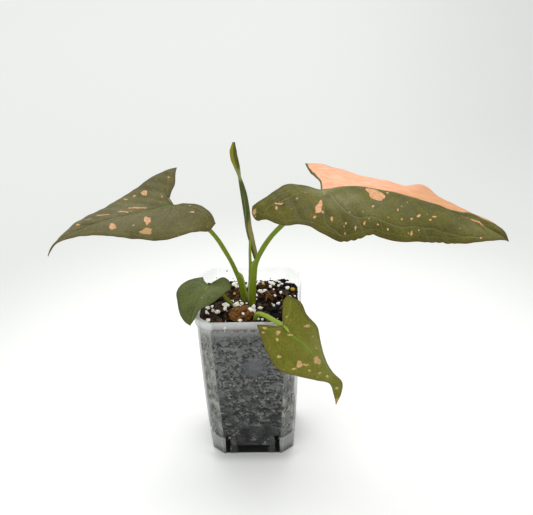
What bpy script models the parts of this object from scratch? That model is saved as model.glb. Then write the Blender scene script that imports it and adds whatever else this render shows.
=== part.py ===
"""A young arrowhead vine (syngonium) in a tall square nursery pot of clear frosted plastic.

Four leaves on their petioles and one leaf still rolled up stand in a bark and perlite mix.
Sizes below are millimetres, and Blender's units are metres. +Z is up and the camera side is -Y.
Points of the plant are measured from the middle of the pot's base.
"""

import math

import bmesh
import bpy
import numpy as np
from mathutils import Matrix, Vector, noise

MM = 0.001
COLLECTION = "potted_syngonium"

# The pot stands left of the origin, which is the middle of the whole plant's footprint.
POT_PLACE = (-19.5, 8.5)

# Pot: a tapered square tub with cut corners, one moulding
RIM_WIDTH = 70.0
RIM_BAND = 5.0
RIM_STEP = 1.0
POT_HEIGHT = 111.5
BASE_WIDTH = 55.0
CORNER_TOP = 8.3
CORNER_BASE = 7.7
WALL = 1.0
FLOOR_UNDER = 5.2
LEDGE_UNDER = 13.2
LEDGE_LINE = 39.3
SLIT_WIDTH = 3.4
SLIT_HEIGHT = 15.5
SLIT_OFFSET = 16.7
ARCH_HALF = 10.1
ARCH_HEIGHT = 4.9
CLEARANCE = 0.3

# Potting mix: its top falls a little towards the back
MIX_TOP = 103.5
MIX_FALL = 0.06
MIX_CHUNK = 5.5
MIX_RELIEF = 2.4
MIX_GRID = 2.5
MIX_SEED = 7
MIX_STIR = 3.7
MIX_DOME = 1.1
PLANT_DEPTH = 94.0
HOLE_LEAN = 0.6
HOLE_FLARE = 1.2

# Loose chips on the mix: middle, size, turn in degrees
CHIP_ROUND = 0.45
CHIP_WEAR = (0.86, 1.04)
CHIP_FLAT = -0.98
CHIPS = {
    "coir_chip": ((-4.5, -17.0, 108.5), (15.0, 11.0, 9.0), 12.0),
    "bark_chip_left": ((-18.5, -6.0, 106.0), (10.0, 13.0, 5.5), 35.0),
    "bark_chip_front": ((-22.5, -24.0, 106.5), (10.5, 7.0, 5.0), -8.0),
    "bark_chip_corner": ((-28.5, -15.0, 106.0), (5.0, 8.5, 4.5), 15.0),
    "bark_chip_back": ((8.0, 23.0, 103.0), (9.0, 6.0, 4.5), -20.0),
    "bark_chip_right": ((14.0, 6.0, 106.0), (9.5, 12.0, 8.0), 25.0),
    "bark_chip_side": ((22.5, 12.0, 104.5), (7.0, 9.0, 4.0), -30.0),
}

# Blades: the place of the petiole's end, then roll, droop and heading in degrees.
# Outline points are in the blade's own frame: along the midrib, out to its left, and up.
# Each half runs from its basal lobe's tip: "sinus" in to the petiole, "margin" round to the apex.
BLADE_THICKNESS = 0.7
BLADE_ARCH = 0.07
BLADE_COLUMNS = 4
ROW_STEP = 6.0
LEAST_ROWS = 5
FINE_POINTS = 400
BLADES = {
    "left": {
        "place": (-47, 0, 180),
        "turn": (0, 8, 198),
        "midrib": [(0, 0, 0), (14, 0, 2), (36, 0, 4), (50, 0, 4.5), (63, 0, 3), (73, 0, 1), (83, 0, -4),
                   (86, 0, -9)],
        "left": {
            "sinus": [(-20, 33, -2), (-20, 27, 1), (-19, 21, 3), (-15, 15, 4.5), (-8, 5, 3), (0, 0, 0)],
            "margin": [(-20, 33, -2), (-15, 35, -4), (-8, 36, -1), (0, 36, 0), (10, 36, -1), (18, 33, -1),
                       (34, 25, 1), (50, 16, 4), (67, 6, 3), (78, 3, 0), (86, 0, -9)],
            "shoulder": 3,
        },
        "right": {
            "sinus": [(-13, -32, 8), (-9, -20, 7), (-4, -12, 4), (-1, -5, 1), (0, 0, 0)],
            "margin": [(-13, -32, 8), (-3, -34, 7), (5, -33, 6), (16, -30, 4), (28, -27, 1), (40, -22, 1),
                       (55, -17, 1), (68, -10, 0), (78, -4, -3), (86, 0, -9)],
            "shoulder": 2,
        },
    },
    "right": {
        "place": (49, 5, 187.5),
        "turn": (0, 0, -22),
        "midrib": [(0, 0, 0), (17, 0, 6), (30, 0, 8), (46, 0, 8), (60, 0, 7), (78, 0, 4), (95, 0, 0),
                   (110, 0, -5), (126, 0, -12)],
        "left": {
            "sinus": [(-24, 32, -1), (-17, 25, -3), (-9, 15, 0), (-3, 8, 1), (0, 0, 0)],
            "margin": [(-24, 32, -1), (-13, 34, 0), (0, 36, -3), (17, 36, -6), (37, 34, -5), (51, 31, -3),
                       (60, 30, 0), (70, 26, -5), (84, 21, -6), (99, 15, -7), (114, 8, -7), (122, 4, -9),
                       (126, 0, -12)],
            "shoulder": 2,
        },
        "right": {
            "sinus": [(-37, -26, -6), (-35, -22, -3), (-31, -18, -1), (-26, -10, 2), (-20, -2, 2),
                      (-10, -1, 2), (0, 0, 0)],
            "margin": [(-37, -26, -6), (-31, -32, -10), (-22, -37, -7), (-12, -39, -7), (6, -38, -4),
                       (18, -40, -7), (31, -42, -9), (40, -41, -6), (50, -38, -2), (60, -36, -5),
                       (77, -32, -4), (94, -27, -5), (104, -21, -6), (115, -15, -6), (124, -6, -8),
                       (126, 0, -12)],
            "shoulder": 4,
        },
    },
    "front": {
        "place": (23.5, -44, 116),
        "turn": (32, 54, -26),
        "midrib": [(0, 0, 0), (6, 0, 2.5), (12.5, 1.5, 4.5), (19, 3.5, 5), (27.5, 4.5, 5), (36.5, 5.5, 4),
                   (47, 6, 2), (56.5, 5, 0), (63.5, 0, 0)],
        "left": {
            "sinus": [(-14.5, 13, 3), (-13.5, 8.5, 3), (-10, 5, 2), (-5.5, 2.5, 1), (0, 0, 0)],
            "margin": [(-14.5, 13, 3), (-4.5, 18, 1), (4, 17.5, -2), (16, 19.5, -4), (25, 16.5, -4),
                       (38, 11.5, -3), (46.5, 11.5, -3), (55, 12.5, -1), (61, 6.5, -1), (63.5, 0, 0)],
            "shoulder": 2,
        },
        "right": {
            "sinus": [(-10.5, -14, -1), (-7, -10.5, 1), (-2.5, -4.5, 0.5), (0, 0, 0)],
            "margin": [(-10.5, -14, -1), (-5.5, -14.5, -2), (8, -17, -4), (21.5, -18, -3), (32.5, -10.5, -2),
                       (43, -1.5, -1), (50, 4, 0), (56.5, 2.5, 0), (63.5, 0, 0)],
            "shoulder": 1,
        },
    },
    "side": {
        "place": (-25.5, -9, 125),
        "turn": (0, 25, 245),
        "midrib": [(0, 0, 0), (8, -1, 1), (16, -2, 0.5), (24, -2, -1.5), (29.5, 0, -3.5)],
        "left": {
            "sinus": [(-8, 11, -1), (-8, 8, 1), (-4, 3, 1.5), (0, 0, 0)],
            "margin": [(-8, 11, -1), (-6, 14, -3), (3, 13.5, 2), (15, 8, 3), (21, 3.5, 3), (26, 2.5, 1),
                       (29.5, 0, -3.5)],
            "shoulder": 1,
        },
        "right": {
            "sinus": [(-7, -8, -3), (-4, -4, -1), (0, 0, 0)],
            "margin": [(-7, -8, -3), (-2, -14, -1.5), (2, -20, -3), (9, -21, -3), (15, -16, -4),
                       (24, -10, -5), (28, -4, -5), (29.5, 0, -3.5)],
            "shoulder": 2,
        },
    },
}

# Petioles: middle line from the mix upwards. Each ends under its blade's midrib.
PETIOLE_LINES = {
    "left": [(-3, 2, 104), (-4.5, 1, 113), (-5.5, 1, 121), (-8, 1, 129.5), (-11, 0.5, 138), (-14.5, 0, 146),
             (-18.5, 0, 154), (-23.5, -1, 162), (-33, -1, 170)],
    "right": [(2, -2, 104), (3, -2, 116), (4, -1.5, 126), (5, -1, 135), (10, 0, 148), (15.5, 1, 156),
              (22.5, 2, 163.5), (30, 3, 171)],
    "side": [(-11, -2, 104), (-14, -4, 110), (-17, -6, 116), (-20.5, -7.5, 120.5)],
    "front": [(4, -20, 104), (5.5, -22, 110.5), (11.5, -30, 115.5), (17, -37, 116.5)],
}
PETIOLE_RADIUS = {"left": 1.45, "right": 1.65, "side": 1.0, "front": 1.35}
PETIOLE_FOOT_RADIUS = {"left": 1.3, "right": 2.0, "side": 1.0, "front": 1.4}
PETIOLE_TIP_RADIUS = 0.7
TIP_SHARE = 0.9
FOOT_SHARE = 0.33
COSTA_LENGTH = 7.0
BLADE_SEAT = 0.5

# Sheath: a wing along the foot of a petiole. Heights, reach, side in degrees and sharpness
SHEATH_LIP = 5.0
SHEATHS = {
    "left": {"from": 106.0, "full": 114.0, "to": 129.0, "reach": 2.4, "side": 25.0, "sharp": 6.0},
    "right": {"from": 104.0, "full": 116.0, "to": 138.0, "reach": 2.6, "side": 160.0, "sharp": 2.0},
}

# New leaf: a thin petiole out of the right sheath, and the blade still rolled into a spear
NEW_PETIOLE = [(1.2, -1, 120), (1.8, -0.6, 134), (1.9, 1.4, 146), (2.3, 3.2, 154)]
NEW_PETIOLE_RADIUS = (1.2, 0.8)
ROLL_LINE = [(5, 5, 139.5), (4, 4.5, 145), (2.5, 4, 154), (1.5, 4, 160), (0.8, 4, 169), (0, 4, 178),
             (-1, 4, 186.5), (-2, 4, 192.5), (-3, 4, 198), (-3.8, 4, 202.5), (-4.9, 4, 207.5), (-6, 4, 212),
             (-6.5, 4, 216.5), (-6.2, 4, 221), (-5.8, 4, 224)]
ROLL_WIDTHS = [1.2, 3.4, 3.8, 4.3, 3.9, 3.6, 3.6, 3.4, 2.9, 2.8, 1.7, 3.3, 4.0, 2.4, 0.7]
ROLL_DEPTHS = [1.2, 3.2, 3.6, 4.0, 3.8, 3.6, 3.4, 3.0, 2.7, 2.4, 1.6, 1.8, 1.8, 1.4, 0.6]
ROLL_STEP = 0.22
SEAM_FOOT = 200.0
SEAM_WIND = 120.0

STEM_RADIUS = 4.6
STEM_FOOT = 82.0


def clear_scene():
    for obj in list(bpy.data.objects):
        bpy.data.objects.remove(obj, do_unlink=True)


def make_collection(name, hidden=False):
    collection = bpy.data.collections.new(name)
    bpy.context.scene.collection.children.link(collection)
    collection.hide_render = hidden
    return collection


def make_material(name, colour, roughness, metallic=0.0):
    material = bpy.data.materials.new(name)
    material.use_nodes = True
    shader = material.node_tree.nodes["Principled BSDF"]
    shader.inputs["Base Color"].default_value = (*colour, 1.0)
    shader.inputs["Roughness"].default_value = roughness
    shader.inputs["Metallic"].default_value = metallic
    material.diffuse_color = (*colour, 1.0)
    return material


def object_from(bm, name, collection, material=None, smooth=False):
    """A named object from a bmesh in millimetres about the pot's axis, set down at the pot's place."""
    bmesh.ops.scale(bm, vec=(MM, MM, MM), verts=bm.verts)
    mesh = bpy.data.meshes.new(name)
    bm.to_mesh(mesh)
    bm.free()
    obj = bpy.data.objects.new(name, mesh)
    collection.objects.link(obj)
    obj.parent = bpy.data.objects["pot_place"]
    if material:
        mesh.materials.append(material)
    if smooth:
        mesh.shade_smooth()
        mesh.set_sharp_from_angle(angle=math.radians(40))
    return obj


def as_cutter(obj):
    obj.hide_render = True
    obj.display_type = "WIRE"
    return obj


def boolean(obj, other, operation="DIFFERENCE"):
    modifier = obj.modifiers.new(other.name, "BOOLEAN")
    modifier.operation = operation
    modifier.object = other


def spline(points, count):
    """Points spaced evenly along a smooth curve through the given ones."""
    points = np.array(points, float)
    steps = np.linalg.norm(np.diff(points, axis=0), axis=1)
    at = np.concatenate([[0.0], np.cumsum(steps)])
    slopes = np.gradient(points, at, axis=0)
    fine = np.linspace(0.0, at[-1], 40 * len(points))
    index = np.clip(np.searchsorted(at, fine) - 1, 0, len(steps) - 1)
    width = steps[index][:, None]
    t = ((fine - at[index])[:, None]) / width
    curve = (
        (2 * t**3 - 3 * t**2 + 1) * points[index]
        + (t**3 - 2 * t**2 + t) * width * slopes[index]
        + (3 * t**2 - 2 * t**3) * points[index + 1]
        + (t**3 - t**2) * width * slopes[index + 1]
    )
    lengths = np.linalg.norm(np.diff(curve, axis=0), axis=1)
    along = np.concatenate([[0.0], np.cumsum(lengths)])
    wanted = np.linspace(0.0, along[-1], count)
    return np.stack([np.interp(wanted, along, curve[:, axis]) for axis in range(3)], axis=1)


def loft(rings):
    """A closed solid through rings of equal size, listed upwards and each anticlockwise from above."""
    bm = bmesh.new()
    rows = [[bm.verts.new(point) for point in ring] for ring in rings]
    sides = len(rows[0])
    for low, high in zip(rows, rows[1:]):
        for i in range(sides):
            j = (i + 1) % sides
            bm.faces.new((low[i], low[j], high[j], high[i]))
    bm.faces.new(rows[0][::-1])
    bm.faces.new(rows[-1])
    bmesh.ops.recalc_face_normals(bm, faces=bm.faces)
    return bm


def box(low, high):
    bm = bmesh.new()
    bmesh.ops.create_cube(bm, size=1.0)
    size = [b - a for a, b in zip(low, high)]
    middle = [(a + b) / 2 for a, b in zip(low, high)]
    bmesh.ops.scale(bm, vec=size, verts=bm.verts)
    bmesh.ops.translate(bm, vec=middle, verts=bm.verts)
    return bm


# Pot


def wall_width(z):
    """Outer width of the pot's plain wall at a height."""
    rim = RIM_WIDTH - 2 * RIM_STEP
    return BASE_WIDTH + (rim - BASE_WIDTH) * z / POT_HEIGHT


def wall_corner(z):
    return CORNER_BASE + (CORNER_TOP - CORNER_BASE) * z / POT_HEIGHT


def octagon(width, corner, z):
    """A square with cut corners, anticlockwise from the front edge's left end."""
    h, c = width / 2, width / 2 - corner
    return [(-c, -h, z), (c, -h, z), (h, -c, z), (h, c, z), (c, h, z), (-c, h, z), (-h, c, z), (-h, -c, z)]


def inner_octagon(z, gap):
    """The pot's inside, a distance in from its outer face all round."""
    corner = wall_corner(z) - gap * (2 - math.sqrt(2))
    return octagon(wall_width(z) - 2 * gap, corner, z)


def corner_blocks(name, low, high, line, cutters):
    """Four blocks that stand across the corners, outside the square |x| + |y| = line."""
    blocks = []
    reach = 20.0
    for quarter in range(4):
        bm = box((line / math.sqrt(2), -reach, low), (line / math.sqrt(2) + reach, reach, high))
        turn = Matrix.Rotation(math.radians(45 + 90 * quarter), 3, "Z")
        bmesh.ops.rotate(bm, matrix=turn, verts=bm.verts)
        blocks.append(as_cutter(object_from(bm, f"{name}_{quarter}", cutters)))
    return blocks


def slit_cutters(cutters):
    """Two drainage slits and a low arch between them, on each of the four sides."""
    found = []
    half = BASE_WIDTH / 2
    for quarter in range(4):
        turn = Matrix.Rotation(math.radians(90 * quarter), 3, "Z")
        spans = [(-ARCH_HALF, ARCH_HALF, ARCH_HEIGHT)]
        for side in (-1, 1):
            middle = side * SLIT_OFFSET
            spans.append((middle - SLIT_WIDTH / 2, middle + SLIT_WIDTH / 2, SLIT_HEIGHT))
        for number, (left, right, top) in enumerate(spans):
            bm = box((left, -half - 4, -1), (right, -half + 1.6 * WALL, top))
            bmesh.ops.rotate(bm, matrix=turn, verts=bm.verts)
            found.append(as_cutter(object_from(bm, f"slit_{quarter}_{number}", cutters)))
    return found


def make_pot(parts, cutters, material):
    band = POT_HEIGHT - RIM_BAND
    under = band - RIM_STEP
    rings = [
        octagon(BASE_WIDTH, CORNER_BASE, 0),
        octagon(wall_width(under), wall_corner(under), under),
        octagon(RIM_WIDTH - 0.4, CORNER_TOP, band),
        octagon(RIM_WIDTH, CORNER_TOP, POT_HEIGHT),
    ]
    pot = object_from(loft(rings), "pot", parts, material)
    floor_top = FLOOR_UNDER + WALL
    inside = loft([inner_octagon(z, WALL) for z in (floor_top, POT_HEIGHT + 2)])
    inside = as_cutter(object_from(inside, "pot_inside", cutters))
    for block in corner_blocks("ledge", -5, LEDGE_UNDER + WALL, LEDGE_LINE, cutters):
        boolean(inside, block)
    boolean(pot, inside)
    hollow = loft([inner_octagon(z, WALL) for z in (-1, LEDGE_UNDER)])
    hollow = as_cutter(object_from(hollow, "pot_underside", cutters))
    reach = LEDGE_LINE / math.sqrt(2) + WALL
    core = box((-reach, -reach, FLOOR_UNDER), (reach, reach, LEDGE_UNDER + 5))
    bmesh.ops.rotate(core, matrix=Matrix.Rotation(math.radians(45), 3, "Z"), verts=core.verts)
    boolean(hollow, as_cutter(object_from(core, "pot_floor", cutters)))
    boolean(pot, hollow)
    for cutter in slit_cutters(cutters):
        boolean(pot, cutter)
    return pot


# Potting mix and chips


def chip_bottom(chip):
    middle, size, _ = chip
    return middle[2] - size[2] / 2


def mix_height(x, y):
    """Top of the mix: rounded chunks of a seeded cell pattern, flattened under each loose chip."""
    spot = Vector((x / MIX_CHUNK, y / MIX_CHUNK, MIX_SEED))
    distances, centres = noise.voronoi(spot)
    rise = 0.5 + 0.5 * noise.cell(centres[0] * MIX_STIR)
    height = MIX_TOP - MIX_FALL * y + MIX_RELIEF * (rise - MIX_DOME * distances[0])
    for chip in CHIPS.values():
        middle, size, turn = chip
        angle = math.radians(-turn)
        dx, dy = x - middle[0], y - middle[1]
        u = dx * math.cos(angle) - dy * math.sin(angle)
        v = dx * math.sin(angle) + dy * math.cos(angle)
        if abs(u) < size[0] / 2 + MIX_GRID and abs(v) < size[1] / 2 + MIX_GRID:
            height = min(height, chip_bottom(chip) - CLEARANCE)
    return height


def make_mix(parts, cutters, material):
    """The mix fills the pot's inside, and its top carries the chunky relief."""
    low = FLOOR_UNDER + WALL + CLEARANCE
    gap = WALL + CLEARANCE
    filling = loft([inner_octagon(z, gap) for z in (low, POT_HEIGHT + 2)])
    mix = object_from(filling, "potting_mix", parts, material)
    line = LEDGE_LINE - CLEARANCE * math.sqrt(2)
    for block in corner_blocks("mix_ledge", -5, LEDGE_UNDER + WALL + CLEARANCE, line, cutters):
        boolean(mix, block)
    cells = int(RIM_WIDTH / MIX_GRID) + 2
    bm = bmesh.new()
    bmesh.ops.create_grid(bm, x_segments=cells, y_segments=cells, size=cells * MIX_GRID / 2)
    for vert in bm.verts:
        vert.co.z = mix_height(vert.co.x, vert.co.y)
    bmesh.ops.triangulate(bm, faces=bm.faces)
    roof = bmesh.ops.extrude_face_region(bm, geom=list(bm.faces))
    for item in roof["geom"]:
        if isinstance(item, bmesh.types.BMVert):
            item.co.z = POT_HEIGHT + 10
    bmesh.ops.recalc_face_normals(bm, faces=bm.faces)
    boolean(mix, as_cutter(object_from(bm, "above_mix", cutters)))
    return mix


def make_chip(name, chip, parts, material, seed):
    """A blocky piece of bark: a rounded box with worn, uneven corners and a flat underside."""
    middle, size, turn = chip
    bm = bmesh.new()
    bmesh.ops.create_icosphere(bm, subdivisions=2, radius=1.0)
    rng = np.random.default_rng(seed)
    for vert in bm.verts:
        blocky = max(abs(value) for value in vert.co)
        vert.co *= (CHIP_ROUND + (1 - CHIP_ROUND) / blocky) * rng.uniform(*CHIP_WEAR)
        vert.co.z = max(vert.co.z, CHIP_FLAT)
        vert.co = [max(-1.0, min(1.0, value)) * extent / 2 for value, extent in zip(vert.co, size)]
    bmesh.ops.rotate(bm, matrix=Matrix.Rotation(math.radians(turn), 3, "Z"), verts=bm.verts)
    bmesh.ops.translate(bm, vec=middle, verts=bm.verts)
    return object_from(bm, name, parts, material)


# Plant


def blade_frame(blade):
    """The blade's place and its three directions: along the midrib, to its left, and up."""
    roll, droop, heading = (math.radians(angle) for angle in blade["turn"])
    level = np.array([-math.sin(heading), math.cos(heading), 0.0])
    ahead = np.array([math.cos(heading), math.sin(heading), 0.0])
    along = ahead * math.cos(droop) - np.array([0.0, 0.0, math.sin(droop)])
    raised = np.cross(along, level)
    left = level * math.cos(roll) + raised * math.sin(roll)
    return np.array(blade["place"], float), np.array([along, left, np.cross(along, left)])


def in_place(blade, points):
    place, axes = blade_frame(blade)
    return place + np.array(points, float) @ axes


def row_count(points):
    """Rows for a stretch of lobe or midrib, about one row step apart."""
    steps = np.linalg.norm(np.diff(np.array(points, float), axis=0), axis=1)
    return max(LEAST_ROWS, round(steps.sum() / ROW_STEP))


def half_blade(blade, half):
    """Rows of points from the midrib side out to the margin, from the lobe's tip to the apex."""
    lobe_rows, rows = row_count(half["sinus"]), row_count(blade["midrib"])
    inner = np.concatenate([spline(half["sinus"], lobe_rows + 1), spline(blade["midrib"], rows + 1)[1:]])
    margin = spline(half["margin"], FINE_POINTS)
    shoulder = np.array(half["margin"][half["shoulder"]], float)
    split = int(np.argmin(np.linalg.norm(margin - shoulder, axis=1)))
    outer = np.concatenate([spline(margin[: split + 1], lobe_rows + 1), spline(margin[split:], rows + 1)[1:]])
    outer[0], outer[-1] = inner[0], inner[-1]
    grid = []
    for near, far in zip(inner, outer):
        span = np.linalg.norm(far - near)
        row = []
        for t in np.linspace(0.0, 1.0, BLADE_COLUMNS + 1):
            rise = BLADE_ARCH * span * 4 * t * (1 - t)
            row.append(near + (far - near) * t + np.array([0, 0, rise]))
        grid.append(row)
    return grid


def make_blade(name, blade, parts, material):
    bm = bmesh.new()
    for side in ("left", "right"):
        rows = [in_place(blade, row) for row in half_blade(blade, blade[side])]
        grid = [[bm.verts.new(point) for point in row] for row in rows]
        for low, high in zip(grid, grid[1:]):
            for i in range(BLADE_COLUMNS):
                corners = (low[i], high[i], high[i + 1], low[i + 1])
                bm.faces.new(corners if side == "right" else corners[::-1])
    bmesh.ops.remove_doubles(bm, verts=bm.verts, dist=0.02)
    bmesh.ops.dissolve_degenerate(bm, edges=bm.edges, dist=0.01)
    bmesh.ops.triangulate(bm, faces=bm.faces)
    obj = object_from(bm, name, parts, material, smooth=True)
    solid = obj.modifiers.new("thickness", "SOLIDIFY")
    solid.thickness = BLADE_THICKNESS * MM
    solid.offset = 0.0
    return obj


def petiole_line(key):
    """The petiole's middle line: straight down into the mix, and up to lie under the blade's midrib."""
    line = [tuple(point) for point in PETIOLE_LINES[key]]
    foot = (*line[0][:2], PLANT_DEPTH + CLEARANCE)
    blade = BLADES[key]
    drop = BLADE_THICKNESS / 2 + BLADE_SEAT
    radius = PETIOLE_RADIUS[key]
    joint = in_place(blade, [(0, 0, -drop - radius)])[0]
    costa = spline(blade["midrib"], 60)
    reach = int(np.argmin(np.abs(costa[:, 0] - COSTA_LENGTH)))
    tip = in_place(blade, [costa[reach] - np.array([0, 0, drop + PETIOLE_TIP_RADIUS])])[0]
    return [foot, *line, tuple(joint), tuple(tip)]


def ring_frames(points):
    """Two directions across a line at each of its points, carried along without twisting."""
    tangents = np.gradient(points, axis=0)
    tangents /= np.linalg.norm(tangents, axis=1)[:, None]
    across = np.array([1.0, 0.0, 0.0])
    frames = []
    for tangent in tangents:
        across = across - tangent * (across @ tangent)
        across /= np.linalg.norm(across)
        frames.append((across.copy(), np.cross(tangent, across)))
    return frames


def sheath_reach(sheath, z):
    """How far a sheath's wing stands out at a height."""
    if sheath is None or not sheath["from"] < z < sheath["to"]:
        return 0.0
    rise = min(1.0, (z - sheath["from"]) / (sheath["full"] - sheath["from"]))
    fall = min(1.0, (sheath["to"] - z) / SHEATH_LIP)
    return sheath["reach"] * rise * fall


def petiole_solid(key, rows=28, sides=10):
    points = spline(petiole_line(key), rows)
    sheath = SHEATHS.get(key)
    angles = np.linspace(0, 2 * math.pi, sides, endpoint=False)
    radii = (PETIOLE_FOOT_RADIUS[key], PETIOLE_RADIUS[key], PETIOLE_RADIUS[key], PETIOLE_TIP_RADIUS)
    rings = []
    for number, (point, (across, up)) in enumerate(zip(points, ring_frames(points))):
        share = number / (rows - 1)
        radius = np.interp(share, (0, FOOT_SHARE, TIP_SHARE, 1), radii)
        reach = sheath_reach(sheath, point[2])
        ring = []
        for angle in angles:
            out = radius
            if reach:
                turned = math.cos(angle - math.radians(sheath["side"]))
                out += reach * max(0.0, turned) ** sheath["sharp"]
            ring.append(point + out * (across * math.cos(angle) + up * math.sin(angle)))
        rings.append(ring)
    return loft(rings)


def tube(points, radii, sides=10, rows=14):
    """A tapered round solid along a smooth line."""
    line = spline(points, rows)
    sizes = np.linspace(radii[0], radii[1], rows)
    angles = np.linspace(0, 2 * math.pi, sides, endpoint=False)
    rings = []
    for point, size, (across, up) in zip(line, sizes, ring_frames(line)):
        rings.append([point + size * (across * math.cos(a) + up * math.sin(a)) for a in angles])
    return loft(rings)


def make_petioles(parts, cutters, material, young):
    petioles = {}
    for key in PETIOLE_LINES:
        petioles[key] = object_from(petiole_solid(key), f"petiole_{key}", parts, material, smooth=True)
    socket = tube(NEW_PETIOLE, [radius + CLEARANCE for radius in NEW_PETIOLE_RADIUS])
    socket = as_cutter(object_from(socket, "sheath_socket", cutters))
    boolean(petioles["right"], socket)
    foot = np.array(NEW_PETIOLE, float)
    foot[0, 2] += CLEARANCE
    object_from(tube(foot, NEW_PETIOLE_RADIUS), "petiole_new", parts, young, smooth=True)
    return socket


def make_rolled_leaf(parts, socket, material, sides=12, rows=30):
    """The unopened blade, rolled on itself: its free edge stands out as a step that winds upwards."""
    line = spline(ROLL_LINE, rows)
    at = np.linspace(0, len(ROLL_LINE) - 1, rows)
    known = np.arange(len(ROLL_LINE))
    widths = np.interp(at, known, ROLL_WIDTHS)
    depths = np.interp(at, known, ROLL_DEPTHS)
    rings = []
    for number, (point, (across, up)) in enumerate(zip(line, ring_frames(line))):
        seam = math.radians(SEAM_FOOT + SEAM_WIND * number / rows)
        ring = []
        for i in range(sides):
            angle = 2 * math.pi * i / sides
            turn = ((angle - seam) % (2 * math.pi)) / (2 * math.pi)
            swell = 1.0 - ROLL_STEP * turn
            ring.append(
                point
                + across * math.cos(angle) * swell * widths[number] / 2
                + up * math.sin(angle) * swell * depths[number] / 2
            )
        rings.append(ring)
    roll = object_from(loft(rings), "leaf_new_rolled", parts, material, smooth=True)
    boolean(roll, socket)
    return roll


def make_stem(parts, material):
    """The short buried stem that the leaves grow from, thicker at its foot where the roots start."""
    foot, top = STEM_FOOT, PLANT_DEPTH
    profile = [(0.6, foot), (1.0, foot + 3), (0.85, foot + 8), (0.9, top - 1), (0.6, top)]
    angles = np.linspace(0, 2 * math.pi, 12, endpoint=False)
    rings = []
    for share, z in profile:
        radius = STEM_RADIUS * share
        rings.append([(radius * math.cos(a), radius * math.sin(a), z) for a in angles])
    return object_from(loft(rings), "stem", parts, material, smooth=True)


def cut_planting_holes(mix, cutters):
    """Plain holes in the mix for the buried stem and for each petiole's foot."""
    wide = STEM_RADIUS + CLEARANCE
    deep = PLANT_DEPTH - STEM_FOOT + 2 * CLEARANCE
    hole = bmesh.new()
    bmesh.ops.create_cone(hole, cap_ends=True, segments=16, radius1=wide, radius2=wide, depth=deep)
    bmesh.ops.translate(hole, vec=(0, 0, (PLANT_DEPTH + STEM_FOOT) / 2), verts=hole.verts)
    boolean(mix, as_cutter(object_from(hole, "stem_hole", cutters)))
    for key, line in PETIOLE_LINES.items():
        start = np.array(line[0], float)
        lean = np.array(line[1], float) - start
        route = [(*line[0][:2], PLANT_DEPTH), line[0], tuple(start + lean * HOLE_LEAN)]
        radius = PETIOLE_FOOT_RADIUS[key] + 2 * CLEARANCE
        hole = tube(route, (radius, radius * HOLE_FLARE), sides=14)
        boolean(mix, as_cutter(object_from(hole, f"petiole_hole_{key}", cutters)))


def main():
    clear_scene()
    parts = make_collection(COLLECTION)
    cutters = make_collection("cutters", hidden=True)
    anchor = bpy.data.objects.new("pot_place", None)
    anchor.location = (POT_PLACE[0] * MM, POT_PLACE[1] * MM, 0)
    parts.objects.link(anchor)

    frosted = make_material("frosted_pot", (0.62, 0.64, 0.65), 0.45)
    compost = make_material("potting_mix", (0.035, 0.025, 0.02), 0.95)
    coir = make_material("coir", (0.17, 0.07, 0.03), 0.9)
    bark = make_material("bark", (0.09, 0.045, 0.03), 0.85)
    green = make_material("petiole_green", (0.17, 0.3, 0.03), 0.4)
    lime = make_material("young_green", (0.3, 0.42, 0.02), 0.4)
    spear = make_material("rolled_leaf", (0.07, 0.12, 0.02), 0.4)
    root = make_material("stem", (0.3, 0.25, 0.12), 0.7)
    leaf_colours = {
        "left": (0.12, 0.13, 0.055),
        "right": (0.14, 0.14, 0.03),
        "front": (0.15, 0.17, 0.02),
        "side": (0.12, 0.19, 0.08),
    }

    make_pot(parts, cutters, frosted)
    mix = make_mix(parts, cutters, compost)
    for seed, (name, chip) in enumerate(CHIPS.items()):
        make_chip(name, chip, parts, coir if name == "coir_chip" else bark, seed)
    make_stem(parts, root)
    cut_planting_holes(mix, cutters)
    socket = make_petioles(parts, cutters, green, lime)
    make_rolled_leaf(parts, socket, spear)
    for key, blade in BLADES.items():
        make_blade(f"leaf_{key}", blade, parts, make_material(f"leaf_{key}", leaf_colours[key], 0.4))


main()
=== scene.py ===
"""The looks of a young arrowhead vine (syngonium) in a tall square pot of clear frosted plastic.

Sizes below are millimetres, and points of the plant are measured from the middle of the pot's base,
as in the model's own source. Blender's units are metres. The camera side is -Y.
"""

import math

import bmesh
import bpy
import numpy as np
from mathutils import Euler, Matrix, Vector, noise
from mathutils.bvhtree import BVHTree


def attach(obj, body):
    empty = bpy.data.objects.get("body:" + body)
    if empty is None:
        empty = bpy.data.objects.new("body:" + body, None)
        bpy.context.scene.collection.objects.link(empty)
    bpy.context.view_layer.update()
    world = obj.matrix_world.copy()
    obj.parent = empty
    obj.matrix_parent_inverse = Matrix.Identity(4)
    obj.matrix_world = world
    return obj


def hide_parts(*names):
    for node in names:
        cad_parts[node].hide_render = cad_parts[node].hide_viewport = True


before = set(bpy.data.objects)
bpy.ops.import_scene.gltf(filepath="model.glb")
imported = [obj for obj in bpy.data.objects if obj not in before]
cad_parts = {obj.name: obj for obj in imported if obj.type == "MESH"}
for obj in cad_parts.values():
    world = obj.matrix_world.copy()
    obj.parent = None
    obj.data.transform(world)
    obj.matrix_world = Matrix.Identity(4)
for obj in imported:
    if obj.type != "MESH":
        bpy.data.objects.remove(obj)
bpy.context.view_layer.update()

MM = 0.001
POT_PLACE = (-19.5, 8.5)

# Camera: its place, how far it looks down, its turn and its roll in degrees
CAMERA_PLACE = (52.7, -984.5, 738.5)
CAMERA_DOWN = 31.263
CAMERA_TURN = 2.329
CAMERA_ROLL = 1.973
CAMERA_LENS = 118.5
CAMERA_SENSOR = 36.0
PHOTO_SIZE = (533, 515)

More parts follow.
